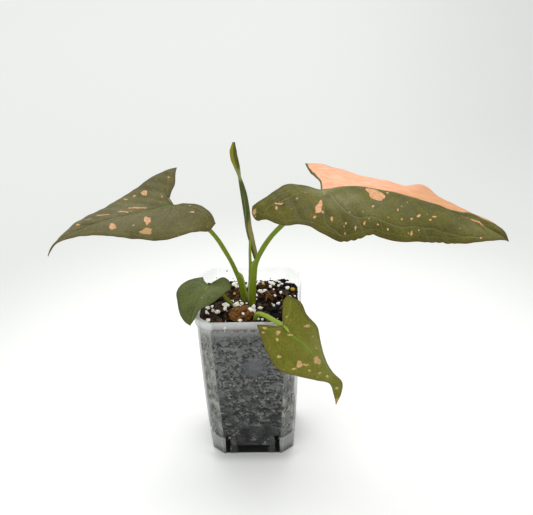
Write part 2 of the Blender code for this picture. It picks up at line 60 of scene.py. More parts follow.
# Soft lights, in metres and watts: place, aim, width and height, power
KEY_LIGHT = ((-0.06, 0.8, 1.3), (0, 0, 0.08), (1.2, 1.2), 9.8)
FRONT_LIGHT = ((-0.3, -1.15, 1.0), (0, 0, 0.1), (1.4, 0.9), 3.2)
SKY = ((0.985, 1.0, 0.985, 1.0), 0.85)
FLOOR_RADIUS = 4.0

# Pot: a tapered square tub with cut corners
RIM_WIDTH = 70.0
RIM_BAND = 5.0
RIM_STEP = 1.0
RIM_FLARE = 4.0
POT_HEIGHT = 111.5
BASE_WIDTH = 55.0
CORNER_TOP = 8.3
CORNER_BASE = 7.7
WALL = 1.0
FLOOR_UNDER = 5.2
LEDGE_UNDER = 13.2
LEDGE_LINE = 39.3
SLIT_WIDTH = 3.4
SLIT_HEIGHT = 15.5
SLIT_OFFSET = 16.7
ARCH_HALF = 10.1
ARCH_HEIGHT = 4.9
POT_EDGE = 0.3
CORNER_STEPS = 6
WALL_STEPS = 12
SHEEN_PLACE = (0.002, -0.033, 0.073)
WALL_BULGE = 1.4

# Potting mix and what lies on it
MIX_TOP = 103.5
PRESS_GAP = 1.15
CRUMB_SEED = 5
GRAIN_SHAPES = 5
GRAIN_FLATNESS = 0.66
GRAIN_SINK = 0.25
PRILL_SINK = 0.08
CAST_FROM = 150.0
FIBRES = 16

# Strewn grains: how many to a square metre, and their least and largest size
CRUMBS = (150000, (2.2, 7.0))
FINES = (260000, (0.7, 2.0))
PERLITE = (36000, (1.0, 3.4))

# Perlite along the back wall: how many, the strip it lies in, and its sizes
BACK_GRAINS = 44
BACK_STRIP = ((-16, 31), (24, 31))
BACK_SIZES = (1.6, 3.4)

# Crumbs behind the slits: distance from the pot's axis, and how far they stray from each slit's middle
SLIT_REACH = (24.4, 26.0)
SLIT_STRAY = 1.2

# Chips that lie on the mix: middle, size, turn in degrees, warmth of their colour
CHIP_FACES = 13
CHIP_FLAT = -0.98
CHIPS = {
    "coir_chip": ((-4.5, -18.4, 108.2), (17.0, 13.5, 10.2), 12.0, 0.5),
    "bark_chip_left": ((-18.5, -6.0, 106.0), (10.0, 13.0, 5.5), 35.0, 0.1),
    "bark_chip_front": ((-22.5, -24.0, 106.5), (10.5, 7.0, 5.0), -8.0, 0.3),
    "bark_chip_corner": ((-28.5, -15.0, 106.0), (5.0, 8.5, 4.5), 15.0, 0.3),
    "bark_chip_back": ((8.0, 23.0, 103.0), (9.0, 6.0, 4.5), -20.0, 0.8),
    "bark_chip_right": ((14.0, 6.0, 106.0), (9.5, 12.0, 8.0), 25.0, 1.0),
    "bark_chip_side": ((22.5, 12.0, 104.5), (7.0, 9.0, 4.0), -30.0, 0.2),
}

# Grains that the photograph shows clearly: the pixel where each lies, and its size in millimetres
PERLITE_SEEN = [
    ((260.8, 291.5), 3.4), ((264.8, 290.8), 2.7), ((275.2, 295.8), 1.7), ((278.4, 303.8), 2.7),
    ((273.8, 305.6), 2.1), ((260, 308.4), 3.1), ((253.6, 308), 4.3), ((250, 310.2), 4.1),
    ((254.3, 311.7), 3.0), ((242, 303.8), 2.7), ((236.3, 304.8), 4.3), ((233.4, 301.6), 2.7),
    ((226, 305.5), 4.2), ((225, 309), 3.4), ((214, 311.2), 3.6), ((217.5, 312), 3.4), ((206.8, 312.4), 2.9),
    ((208.2, 320.3), 3.0), ((207.5, 308), 3.6), ((212.2, 307), 2.7), ((256.5, 295.8), 2.4),
    ((256, 299.4), 2.1), ((240, 320.7), 2.8), ((243.2, 313.8), 2.1), ((287.4, 288), 2.7),
    ((281, 292.6), 2.1), ((281.7, 284.3), 2.7), ((278.5, 286), 2.0), ((294.6, 296.6), 2.1),
    ((262.2, 319.6), 2.1), ((258.5, 319.2), 1.6), ((235, 286), 2.1), ((252, 288), 2.0), ((290, 297), 2.4),
    ((246.5, 303.5), 1.6),
]
PRILLS_SEEN = [((292.5, 290.6), 3.9), ((234.5, 294.4), 2.2), ((263.3, 284.7), 2.1)]
WALL_SPECKS = [
    ((227, 271), 1.2), ((216.5, 277.8), 0.9), ((233, 278.4), 0.8), ((234.4, 281), 1.1),
    ((235.2, 283.2), 1.2), ((270.4, 278.4), 0.9), ((268, 281.8), 1.1), ((275.2, 281.2), 1.0),
    ((279.4, 280.4), 0.7), ((284, 279.0), 0.7), ((272.4, 284), 1.0), ((289.6, 282.4), 0.8),
    ((256.4, 281.6), 0.8), ((266.4, 275), 0.6),
]

# Blades: the place of the petiole's end, then roll, droop and heading in degrees.
# Outline points are in the blade's own frame: along the midrib, out to its left, and up.
# Each half runs from its basal lobe's tip: "sinus" in to the petiole, "margin" round to the apex.
# "laterals" are where the side veins leave the midrib, "lean" how far they run forward for each
# millimetre out, and "bend" how much less they do further out.
BLADE_ARCH = 0.07
BLADE_STEP = 0.85
LEAF_THICKNESS = 0.42
RIB_DEPTH = 1.3
BLADES = {
    "left": {
        "place": (-47, 0, 180),
        "turn": (0, 8, 198),
        "midrib": [(-1.2, -1.0, 0.4), (14, 0, 2), (36, 0, 4), (50, 0, 4.5), (63, 0, 3), (73, 0, 1),
                   (83, 0, -4), (86, 0, -9)],
        "left": {
            "sinus": [(-20, 33, -2), (-20, 27, 1), (-18.5, 21.6, 3), (-14.8, 15.4, 4.5), (-7.7, 6.5, 3),
                      (-3, 2.2, 1.4), (-1.2, -1.0, 0.4)],
            "margin": [(-20, 33, -2), (-15, 35.5, -4), (-7.7, 37, -1), (0.1, 37.3, 0), (10.1, 35.8, -1),
                       (18.2, 33.6, -1), (33.8, 24.6, 1), (50.1, 16.9, 4), (67.1, 7, 3), (78, 3, 0),
                       (86, 0, -9)],
            "shoulder": 3,
            "lobe_vein": [(1, 0), (-3, 7), (-8, 15), (-13, 23), (-17, 29)],
        },
        "right": {
            "sinus": [(-13, -32, 8), (-9.5, -23.2, 7.5), (-6.9, -15.9, 6), (-2.1, -10.2, 3.4),
                      (0.7, -5.2, 1.2), (-1.2, -1.0, 0.4)],
            "margin": [(-13, -32, 8), (-3, -34, 7), (5, -33, 6), (16, -28.4, 4), (28, -27.6, 1),
                       (40, -21.2, 1), (55, -16.4, 1), (68, -10.6, 0), (78, -4, -3), (86, 0, -9)],
            "shoulder": 2,
            "lobe_vein": [(1, 0), (0, -8), (-2, -16), (-6, -24), (-10, -29)],
        },
        "laterals": (3, 13, 24, 36, 48, 60, 70, 78),
        "lean": 1.35,
        "bend": 0.012,
    },
    "right": {
        "place": (49, 5, 187.5),
        "turn": (0, 0, -22),
        "midrib": [(0, 0, 0), (17, 0, 6), (30, 0, 8), (46, 0, 8), (60, 0, 7), (78, 0, 4), (95, 0, 0),
                   (110, 0, -5), (126, 0, -12)],
        "left": {
            "sinus": [(-24, 31.6, -1), (-17.2, 23.8, -3), (-9.1, 13.7, 0), (-3.5, 7.3, 1), (0, 0, 0)],
            "margin": [(-24, 31.6, -1), (-12.4, 32.5, 0), (0, 35.6, -3), (17.2, 35.3, -6), (37.3, 33.3, -5),
                       (51.5, 29.2, -4), (60.1, 29.6, -0.6), (70.2, 26.5, -5), (84.1, 21.7, -6),
                       (99.1, 15.6, -7), (113.9, 9, -7), (122.2, 4.8, -9), (126, 0, -12)],
            "shoulder": 2,
            "lobe_vein": [(1, 0), (-3, 9), (-9, 18), (-16, 26), (-21, 30)],
        },
        "right": {
            "sinus": [(-37, -26, -6), (-33.6, -23.3, -3), (-30, -19, -1), (-25.2, -11.4, 2),
                      (-20.2, -1.6, 2), (-9.8, -1.7, 2), (0, 0, 0)],
            "margin": [(-37, -26, -6), (-35.9, -30.2, -8), (-31.4, -34.3, -10), (-22.2, -36.4, -7),
                       (-12, -39, -7), (6.3, -38.5, -4), (17.9, -40.6, -7), (31, -42, -9), (40.1, -41, -6),
                       (50.4, -39, -2), (60.1, -36, -5), (77.4, -33.5, -4), (94.2, -27.8, -5),
                       (104.2, -21.8, -6), (115.1, -15.4, -6), (124.3, -7.2, -8), (126, 0, -12)],
            "shoulder": 5,
            "lobe_vein": [(1, 0), (-4, -6), (-11.4, -13.4), (-20.8, -25.2), (-27.5, -29.2)],
        },
        "laterals": (-3, 8.7, 23, 38.5, 54, 69, 83, 96, 108),
        "lean": 1.5,
        "bend": 0.012,
        "nicks": [(-35, -29, 1.6, 1.2), (-30.7, -22.5, 1.1, 1.0), (-33, -25.5, 0.9, 0.9),
                  (-28.5, -16.5, 0.9, 0.9), (-26.8, -13.2, 0.8, 0.9), (-27, -37, 1.2, 1.2),
                  (32, -42, 0.7, 1.0), (36.5, -41.5, 0.8, 1.0), (41, -41, 0.7, 1.0), (46, -40, 0.8, 1.0),
                  (50.5, -39, 0.6, 1.0), (83.4, -31.2, 0.8, 1.0), (88, -30, 0.6, 0.9),
                  (92, -28.5, 0.9, 1.1), (97, -26.2, 0.6, 1.0)],
    },
    "front": {
        "place": (23.5, -44, 116),
        "turn": (32, 54, -26),
        "midrib": [(0, 0, 0), (6, 0, 2.5), (12.5, 1.5, 4.5), (19, 3.5, 5), (27.5, 4.5, 5), (36.5, 5.5, 4),
                   (47, 6, 2), (56.5, 5, 0), (63.5, 0, 0)],
        "left": {
            "sinus": [(-14.7, 13, 3), (-13.4, 8.5, 3), (-9.5, 5.6, 2), (-5.3, 2.8, 1), (0, 0, 0)],
            "margin": [(-14.7, 13, 3), (-4.5, 18.4, 1), (4, 18, -2), (16.2, 20, -4), (24.9, 16.3, -4),
                       (38, 11.7, -3), (46.5, 11.4, -3), (54.8, 12.2, -1), (60.8, 6.3, -1), (63.5, 0, 0)],
            "shoulder": 2,
            "lobe_vein": [(1, 0), (-2, 4), (-6, 9), (-11, 12.5)],
        },
        "right": {
            "sinus": [(-10.5, -14, -1), (-7.6, -10, 1), (-2.5, -4.5, 0.5), (0, 0, 0)],
            "margin": [(-10.5, -14, -1), (-5.6, -15.1, -2), (7.8, -17.9, -4), (21.6, -18.5, -3),
                       (32.7, -10.8, -2), (43.1, -1.6, -1), (50, 4, 0), (56.5, 2.5, 0), (63.5, 0, 0)],
            "shoulder": 1,
            "lobe_vein": [(1, 0), (-1, -5), (-4, -10), (-8, -13)],
        },
        "laterals": (1, 7, 14, 22, 31, 40, 49),
        "lean": 1.2,
        "bend": 0.015,
    },
    "side": {
        "place": (-25.5, -9, 125),
        "turn": (0, 25, 245),
        "midrib": [(0, 0, 0), (8, -1, 1), (16, -2, 0.5), (24, -2, -1.5), (30.8, -0.8, -3.5)],
        "left": {
            "sinus": [(-7.8, 11, -1), (-7.9, 8, 1), (-3.6, 3.5, 1.5), (0, 0, 0)],
            "margin": [(-7.8, 11, -1), (-5.4, 13.3, -3), (3.5, 14.3, 2), (15.3, 8.7, 3), (21, 3.8, 3),
                       (26.4, 2.6, 1), (30.8, -0.8, -3.5)],
            "shoulder": 1,
            "lobe_vein": [(1, 0), (-2, 5), (-6, 10.5)],
        },
        "right": {
            "sinus": [(-6.6, -8.2, -3), (-2.9, -4.8, -1), (0, 0, 0)],
            "margin": [(-6.6, -8.2, -3), (-2.2, -14.3, -1.5), (2, -19.9, -3), (9, -20.8, -3),
                       (15.9, -17.3, -4), (24.9, -10.8, -5), (28.8, -5.4, -5), (30.8, -0.8, -3.5)],
            "shoulder": 2,
            "lobe_vein": [(1, 0), (0, -6), (-1, -13)],
        },
        "laterals": (1, 6, 11, 16, 21),
        "lean": 0.9,
        "bend": 0.01,
    },
}

# Markings in each blade's own frame. A spot is its middle and two diameters, a streak its points and
# its width. "pale" outlines the pink part of the right leaf.
SPOTS = {
    "left": [
        ((13.7, -17.3), (-3.4, 2.4), (1.6, 5.8)), ((20.4, -19.2), (-2.2, 2.4), (0.5, 1.7)),
        ((26.4, -19.1), (-2.8, 3.0), (0.5, 1.7)), ((61.7, -6.2), (-2.4, 2.6), (0.5, 1.7)),
        ((67.7, -5.8), (-1.2, 1.2), (0.3, 1.2)), ((41.9, 11.4), (-3.6, 1.4), (1.6, 6.6)),
        ((19.6, 14.0), (-4.0, 1.8), (2.2, 8.0)), ((29.1, 15.3), (-1.4, 0.8), (0.4, 1.4)),
        ((4.0, -8.4), (-1.2, 1.0), (0.4, 1.4)), ((-4.8, -23.7), (-1.2, 1.0), (0.4, 1.4)),
        ((-8.4, 20.6), (-3.0, 1.6), (0.4, 1.4)), ((-9.6, 12.0), (-1.6, 0.8), (0.3, 1.0)),
    ],
    "right": [
        ((40.0, -7.0), (14.3, -7.8), (1.4, 8.8)), ((7.8, -22.7), (-0.3, 10.8), (4.6, -3.1)),
        ((-19.1, -28.4), (1.8, 0.4), (0.6, -2.2)), ((-8.8, -18.9), (1.4, 0.3), (0.5, -1.6)),
        ((11.6, -25.9), (1.5, 0.4), (0.6, -2.0)), ((8.3, -31.4), (1.8, 0.4), (0.8, -2.4)),
        ((19.3, -29.9), (1.4, 0.4), (1.4, -3.4)), ((29.4, -31.3), (1.3, 0.3), (0.6, -1.8)),
        ((37.1, -34.6), (1.3, 0.3), (1.0, -2.6)), ((41.8, -31.5), (1.3, 0.3), (1.0, -2.8)),
        ((42.6, -18.4), (1.5, 0.4), (0.6, -1.8)), ((50.8, -31.6), (1.1, 0.2), (0.4, -1.2)),
        ((30.9, -37.0), (1.3, 0.3), (0.6, -1.6)), ((46.8, -3.6), (1.6, 0.5), (0.6, -1.6)),
        ((58.0, -15.7), (1.4, 0.4), (0.5, -1.5)), ((62.8, -21.3), (1.4, 0.4), (0.5, -1.5)),
        ((68.7, -20.0), (1.5, 0.4), (0.5, -1.7)), ((72.1, -16.0), (2.4, 1.0), (0.6, -1.8)),
        ((79.9, -16.7), (1.4, 0.4), (0.5, -1.5)), ((80.8, -12.4), (2.2, 1.2), (0.6, -1.6)),
        ((57.0, -31.0), (1.4, 0.4), (0.5, -1.5)), ((72.1, -29.6), (1.6, 0.4), (1.0, -2.6)),
        ((75.8, -26.8), (1.1, 0.3), (0.4, -1.5)), ((112.0, -14.2), (1.3, 0.4), (0.5, -1.4)),
    ],
    "front": [
        ((10.2, 13.1), (2.8, 4.0), (1.6, -1.2)), ((1.6, -5.9), (1.8, 2.2), (2.4, -2.0)),
        ((5.0, -9.0), (1.2, 1.4), (2.0, -1.2)), ((-3.2, 4.8), (0.9, 1.2), (0.9, -0.9)),
        ((14.9, -13.9), (1.8, 2.2), (1.2, -1.0)), ((26.3, -6.4), (1.8, 2.6), (4.8, -2.4)),
        ((29.2, -3.1), (2.0, 2.8), (1.2, -0.9)), ((31.3, 4.6), (3.0, 4.0), (4.4, -2.8)),
        ((33.9, -2.8), (1.2, 1.6), (1.0, -0.8)), ((39.3, 1.7), (1.1, 1.4), (1.2, -1.0)),
        ((44.1, 4.7), (1.4, 1.8), (1.5, -1.0)), ((27.1, -10.5), (1.4, 2.0), (1.2, -0.8)),
        ((-5.8, -11.1), (1.6, 2.0), (1.2, -1.0)), ((-3.8, -13.3), (1.2, 1.4), (0.9, -0.8)),
        ((25.3, 9.5), (1.0, 1.2), (0.9, -0.9)), ((17.8, 12.4), (1.4, 1.8), (0.8, -0.7)),
        ((55.0, 6.2), (1.6, 2.0), (1.4, -1.1)),
    ],
    "side": [((11.3, 0.4), (0.9, 0.5), (0.5, -0.9))],
}
STREAKS = {
    "left": [
        ([(27, -6.2), (21.6, -3.8), (16.8, -2.2)], 1.0), ([(34.5, -4.9), (31.7, -3.6), (28.8, -1.6)], 1.0),
        ([(48, -7.9), (44.4, -6.4), (41, -5.2)], 1.1), ([(56, -9), (52, -7)], 0.7),
    ],
    "right": [([(-21.0, -25.2), (-16.8, -24.0)], 1.2), ([(95.3, -0.7), (106.6, 1.0), (111.7, -0.7)], 1.0)],
    "front": [([(6.2, -1.9), (8.2, 0.6)], 1.0)],
}
TAN_SPOTS = {
    "left": [((23.1, 23.7), (-7.0, 3.0), (1.6, 5.2))],
    "right": [((-34.0, -30.5), (3.0, 1.6), (1.4, -3.0))],
    "front": [((62.0, 2.5), (3.0, 1.0), (1.0, -4.0))],
}
PALE_PART = [(0.8, 0.5), (12, 0.2), (24, 0.6), (36, 0.1), (48, 0.5), (60, 0.2), (72, 0.5), (84, 1.5),
             (90, 2.2), (94.5, 3.9), (97, 9), (104.3, 7.6), (116, 9), (116, 30), (70, 44), (0, 50),
             (-21.0, 44), (-22.2, 31.2), (-16.0, 24.2), (-8.0, 14.2), (-2.3, 7.6)]

# Where a leaf's upper skin is painted greyer as a sheen, or painted darker as shade where it curls away:
# middle, reach along and across, strength
SHEEN_PATCHES = {
    "left": [(30, 0, 24, 14, 0.9), (72, -2, 14, 6, 0.5)],
    "right": [(4, -4, 11, 7, 1.0), (21, -14, 14, 8, 0.75), (46, -18, 20, 10, 0.35),
              (108, -10, 16, 7, 0.35)],
    "front": [(25, 9, 16, 11, 1.0), (45, 4, 14, 6, 0.7), (8, 5, 8, 5, 0.4), (58, 3, 8, 6, 0.8)],
    "side": [(8, 0, 9, 9, 0.9)],
}
# Painted shade: darker where a blade's edges curl down, away from the light.
SHADE_PATCHES = {
    "left": [(-10, -22, 16, 14, 0.7), (27, 30, 18, 7, 0.8), (-14, 28, 12, 8, 0.5)],
    "right": [(84, -25, 22, 9, 1.0), (60, -34, 16, 5, 0.8), (-28, -40, 8, 6, 0.7), (25, -37, 14, 5, 0.7)],
    "front": [(4, -12, 8, 6, 0.4)],
}

# Creases in a leaf's upper skin, pressed into its relief, with painted shade along them and a painted
# highlight beside them
CREASES = {
    "left": [
        [(0, 0), (2.5, 7.6), (6.2, 14.8), (12.5, 21.2), (21.2, 21.2), (28.8, 20)],
        [(46.1, -6.6), (31.5, 0.2), (14.5, 2.4)], [(59.3, -3.1), (48.1, 2.7), (29.9, 1.9)],
    ],
    "right": [
        [(3, -3), (9.2, -7.2), (18.2, -16.3), (27.6, -23), (35, -26), (50, -26.5), (66, -25.5), (82, -22),
         (97, -19), (112, -13)],
        [(11.7, -21.4), (17, -32.3), (28.5, -37.8)],
        [(-27, -32), (-26, -22.7), (-23, -16.7), (-17.2, -10.4), (-12, -6.3), (-2.8, -1.5)],
    ],
}

# Petioles: middle line from the mix upwards. Each ends under its blade's midrib.
PLANT_DEPTH = 94.0
PETIOLE_LINES = {
    "left": [(-3, 2, 104), (-4.5, 1, 113), (-5.5, 1, 121), (-8, 1, 129.5), (-11, 0.5, 138), (-14.5, 0, 146),
             (-18.5, 0, 154), (-23.5, -1, 162), (-33, -1, 170)],
    "right": [(2.2, -2, 104), (3, -2, 116), (4, -1.5, 126), (5.2, -1, 135), (10.9, 0, 148), (16.4, 1, 156),
              (23.4, 2, 163.5), (30.9, 3, 171)],
    "side": [(-11, -2, 104), (-14, -4, 110), (-17, -6, 116), (-20.5, -7.5, 120.5)],
    "front": [(4.6, -20, 104), (5.8, -22, 109.8), (11.5, -30, 114.4), (17, -37, 115.6)],
}
PETIOLE_RADIUS = {"left": 1.45, "right": 1.65, "side": 1.05, "front": 1.5}
PETIOLE_FOOT_RADIUS = {"left": 1.7, "right": 2.6, "side": 1.05, "front": 1.6}
PETIOLE_TIP_RADIUS = 0.7
PETIOLE_ROWS = 150
PETIOLE_SIDES = 40
TIP_SHARE = 0.9
FOOT_SHARE = 0.33
COSTA_LENGTH = 9.0
SHEATH_LIP = 3.0
SHEATHS = {
    "left": {"from": 103.0, "full": 108.0, "to": 127.5, "reach": 1.9, "side": 25.0, "sharp": 9.0},
    "right": {"from": 104.0, "full": 118.0, "to": 138.0, "reach": 1.7, "side": 160.0, "sharp": 5.0},
}

# New leaf: a thin petiole out of the right sheath, and the blade still rolled into a spear
NEW_PETIOLE = [(1.2, -1, 120.3), (1.8, -0.6, 134), (1.9, 1.4, 146), (2.3, 3.2, 154)]
NEW_PETIOLE_RADIUS = (1.2, 0.8)
ROLL_LINE = [(5.6, 5.4, 136.5), (4.3, 4.7, 144), (2.5, 4, 154), (1.5, 4, 160), (0.8, 4, 169), (0, 4, 178),
             (-1, 4, 186.5), (-2, 4, 192.5), (-3, 4, 198), (-3.8, 4, 202.5), (-4.9, 4, 207.5), (-6, 4, 212),
             (-6.5, 4, 216.5), (-6.2, 4, 221), (-5.8, 4, 223.8)]
ROLL_WIDTHS = [3.0, 3.6, 4.0, 4.5, 4.4, 4.4, 4.5, 4.5, 4.3, 3.3, 2.1, 3.7, 4.9, 4.6, 1.6]
ROLL_DEPTHS = [2.6, 3.2, 3.6, 4.0, 4.0, 4.0, 3.8, 3.6, 3.4, 2.6, 1.8, 1.9, 1.9, 1.6, 0.8]
ROLL_STEP = 0.2
ROLL_FULL = 1.1
ROLL_ROWS = 200
ROLL_SIDES = 72
SEAM_FOOT = 200.0
SEAM_WIND = 120.0


# Helpers for meshes


def in_metres(points):
    """Points measured in millimetres from the middle of the pot's base, in the frame's metres."""
    return (np.asarray(points, float) + np.array([*POT_PLACE, 0.0])) * MM


def in_millimetres(points):
    """Places in the frame's metres, in millimetres from the middle of the pot's base."""
    return np.asarray(points, float) / MM - np.array([*POT_PLACE, 0.0])


def new_object(name, mesh, *materials):
    """A mesh as an object in the scene, with its materials."""
    obj = bpy.data.objects.new(name, mesh)
    bpy.context.scene.collection.objects.link(obj)
    for material in materials:
        mesh.materials.append(material)
    return obj


def mesh_from(bm, name):
    """A named mesh from a bmesh, which is then freed."""
    mesh = bpy.data.meshes.new(name)
    bm.to_mesh(mesh)
    bm.free()
    return mesh


def object_from(bm, name, *materials, smooth=True):
    """A named object from a bmesh that is measured in millimetres about the pot's axis."""
    place = Matrix.Translation((POT_PLACE[0] * MM, POT_PLACE[1] * MM, 0)) @ Matrix.Scale(MM, 4)
    bmesh.ops.transform(bm, matrix=place, verts=bm.verts)
    mesh = mesh_from(bm, name)
    if smooth:
        mesh.shade_smooth()
    return new_object(name, mesh, *materials)


def points_of(mesh):
    """A mesh's points as rows of an array."""
    found = np.empty(len(mesh.vertices) * 3)
    mesh.vertices.foreach_get("co", found)
    return found.reshape(-1, 3)


def set_points(mesh, points):
    """Moves a mesh's points to the rows of an array."""
    mesh.vertices.foreach_set("co", np.asarray(points, float).ravel())
    mesh.update()


def set_attributes(obj, **fields):
    """Keeps named numbers for each point of an object's mesh, for its material to read."""
    for name, values in fields.items():
        layer = obj.data.attributes.new(name, "FLOAT", "POINT")
        layer.data.foreach_set("value", np.asarray(values, np.float32))


def as_mesh(obj):
    """Applies an object's modifiers to its mesh."""
    graph = bpy.context.evaluated_depsgraph_get()
    mesh = bpy.data.meshes.new_from_object(obj.evaluated_get(graph))
    obj.modifiers.clear()
    obj.data = mesh
    return obj


def paint(obj, material):
    """Gives an object one material in place of what it had."""
    obj.data.materials.clear()
    obj.data.materials.append(material)


def dress(piece, slot, *nodes):
    """The piece rides with the plant and may stand for nodes of the frame; the slot is not used."""
    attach(piece, "root")
    if nodes:
        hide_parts(*nodes)
    return piece


def spline(points, count):
    """Points spaced evenly along a smooth curve through the given ones."""
    points = np.array(points, float)
    steps = np.linalg.norm(np.diff(points, axis=0), axis=1)
    at = np.concatenate([[0.0], np.cumsum(steps)])
    slopes = np.gradient(points, at, axis=0)
    fine = np.linspace(0.0, at[-1], 40 * len(points))
    index = np.clip(np.searchsorted(at, fine) - 1, 0, len(steps) - 1)
    width = steps[index][:, None]
    t = ((fine - at[index])[:, None]) / width
    curve = (
        (2 * t**3 - 3 * t**2 + 1) * points[index]
        + (t**3 - 2 * t**2 + t) * width * slopes[index]
        + (3 * t**2 - 2 * t**3) * points[index + 1]
        + (t**3 - t**2) * width * slopes[index + 1]
    )
    lengths = np.linalg.norm(np.diff(curve, axis=0), axis=1)
    along = np.concatenate([[0.0], np.cumsum(lengths)])
    wanted = np.linspace(0.0, along[-1], count)
    return np.stack([np.interp(wanted, along, curve[:, axis]) for axis in range(points.shape[1])], axis=1)


def bump_field(points, scale, seed):
    """Smooth noise of about -1 to 1 at each point, for features of the given size."""
    shift = Vector((seed * 17.3, seed * 5.1, seed * 9.7))
    return np.array([noise.noise(Vector(point) / scale + shift) for point in points])


# Helpers for node trees


def fill(tree, sockets, values):
    """Gives each named socket its value, or joins it to another node's output."""
    for name, value in values.items():
        if isinstance(value, bpy.types.NodeSocket):
            tree.links.new(value, sockets[name])
        else:
            sockets[name].default_value = value


def node(tree, kind, inputs=None, **settings):
    """A node of a kind, with its settings and its inputs."""
    made = tree.nodes.new(kind)
    for name, value in settings.items():
        setattr(made, name, value)
    fill(tree, made.inputs, inputs or {})
    return made


def maths(tree, operation, *values, clamp=False):
    """The result of one sum on numbers or sockets."""
    inputs = dict(enumerate(values))
    return node(tree, "ShaderNodeMath", inputs, operation=operation, use_clamp=clamp).outputs[0]


def times(tree, first, second):
    """One value multiplied by another."""
    return maths(tree, "MULTIPLY", first, second)


def plus(tree, first, second, clamp=False):
    """Two values added up."""
    return maths(tree, "ADD", first, second, clamp=clamp)


def minus(tree, first, second):
    """What is left of one value when another is taken off."""
    return maths(tree, "SUBTRACT", first, second)


def either(tree, first, second):
    """The larger of two values: one mask or the other."""
    return maths(tree, "MAXIMUM", first, second)


def size_of(tree, value):
    """A value without its sign."""
    return maths(tree, "ABSOLUTE", value)


def axis_of(tree, place, axis):
    """One of a place's three coordinates."""
    return node(tree, "ShaderNodeSeparateXYZ", {0: place}).outputs[axis]


def mixed(tree, factor, first, second, mode="MIX"):
    """One colour laid over another."""
    inputs = {0: factor, 6: first, 7: second}
    made = node(tree, "ShaderNodeMix", inputs, data_type="RGBA", blend_type=mode)
    return made.outputs[2]


def fade(tree, value, low, high, start=0.0, end=1.0):
    """A smooth rise from one value to another while the input goes from low to high."""
    inputs = {0: value, 1: low, 2: high, 3: start, 4: end}
    return node(tree, "ShaderNodeMapRange", inputs, interpolation_type="SMOOTHSTEP").outputs[0]


def speckle(tree, place, size, detail=2.0, roughness=0.5, warp=0.0):
    """Noise with features of about a size in millimetres."""
    inputs = {"Vector": place, "Scale": 1 / (size * MM), "Detail": detail, "Roughness": roughness,
              "Distortion": warp}
    return node(tree, "ShaderNodeTexNoise", inputs).outputs["Fac"]


def cells(tree, place, size, feature="F1"):
    """Scattered cells of about a size in millimetres."""
    inputs = {"Vector": place, "Scale": 1 / (size * MM)}
    return node(tree, "ShaderNodeTexVoronoi", inputs, feature=feature)


def stretched(tree, place, scale):
    """A place with its axes scaled, so that a pattern is drawn out or pressed together."""
    return node(tree, "ShaderNodeMapping", {"Vector": place, "Scale": scale}).outputs[0]


def attribute(tree, name):
    """A number that the mesh carries."""
    return node(tree, "ShaderNodeAttribute", attribute_name=name).outputs["Fac"]


def tint(red, green, blue):
    """A colour as screens give it, 0 to 255, in Blender's linear values."""
    channels = [value / 255 for value in (red, green, blue)]
    return (*[c / 12.92 if c <= 0.04045 else ((c + 0.055) / 1.055) ** 2.4 for c in channels], 1.0)


def new_group(name, inputs, outputs):
    """An empty shader group with named sockets, its input node and its output node."""
    tree = bpy.data.node_groups.new(name, "ShaderNodeTree")
    for label, (kind, value) in inputs.items():
        socket = tree.interface.new_socket(label, in_out="INPUT", socket_type=f"NodeSocket{kind}")
        if value is not None:
            socket.default_value = value
    for label, kind in outputs.items():
        tree.interface.new_socket(label, in_out="OUTPUT", socket_type=f"NodeSocket{kind}")
    return tree, node(tree, "NodeGroupInput").outputs, node(tree, "NodeGroupOutput").inputs


def use_group(tree, group, inputs):
    """A shared group put to use: its outputs."""
    made = tree.nodes.new("ShaderNodeGroup")
    made.node_tree = group
    fill(tree, made.inputs, inputs)
    return made.outputs


def new_material(name):
    """A material, its tree, its Principled shader, and the place in the frame in metres."""
    material = bpy.data.materials.new(name)
    material.use_nodes = True
    tree = material.node_tree
    place = node(tree, "ShaderNodeTexCoord").outputs["Object"]
    return material, tree, tree.nodes["Principled BSDF"], place


def vein_masks(tree, place):
    """The shared vein group, fed with the distances that a blade's mesh carries."""
    return use_group(tree, SHARED["veins"], {
        "Midrib": attribute(tree, "midrib"), "Laterals": attribute(tree, "laterals"),
        "Lobe vein": attribute(tree, "lobe_vein"), "Margin": attribute(tree, "margin"), "Place": place,
    })


def patches_of(tree, place, size, stipple):
    """The shared patches and stipple: one tone from 0 to 1."""
    return use_group(tree, SHARED["cloud"], {"Place": place, "Size": size, "Stipple": stipple})["Tone"]


def bumped(tree, height, depth, strength=1.0):
    """A normal from a height of 0 to 1 that stands for a depth in millimetres."""
    inputs = {"Height": height, "Distance": depth * MM, "Strength": strength}
    return node(tree, "ShaderNodeBump", inputs).outputs[0]


# Shared effects


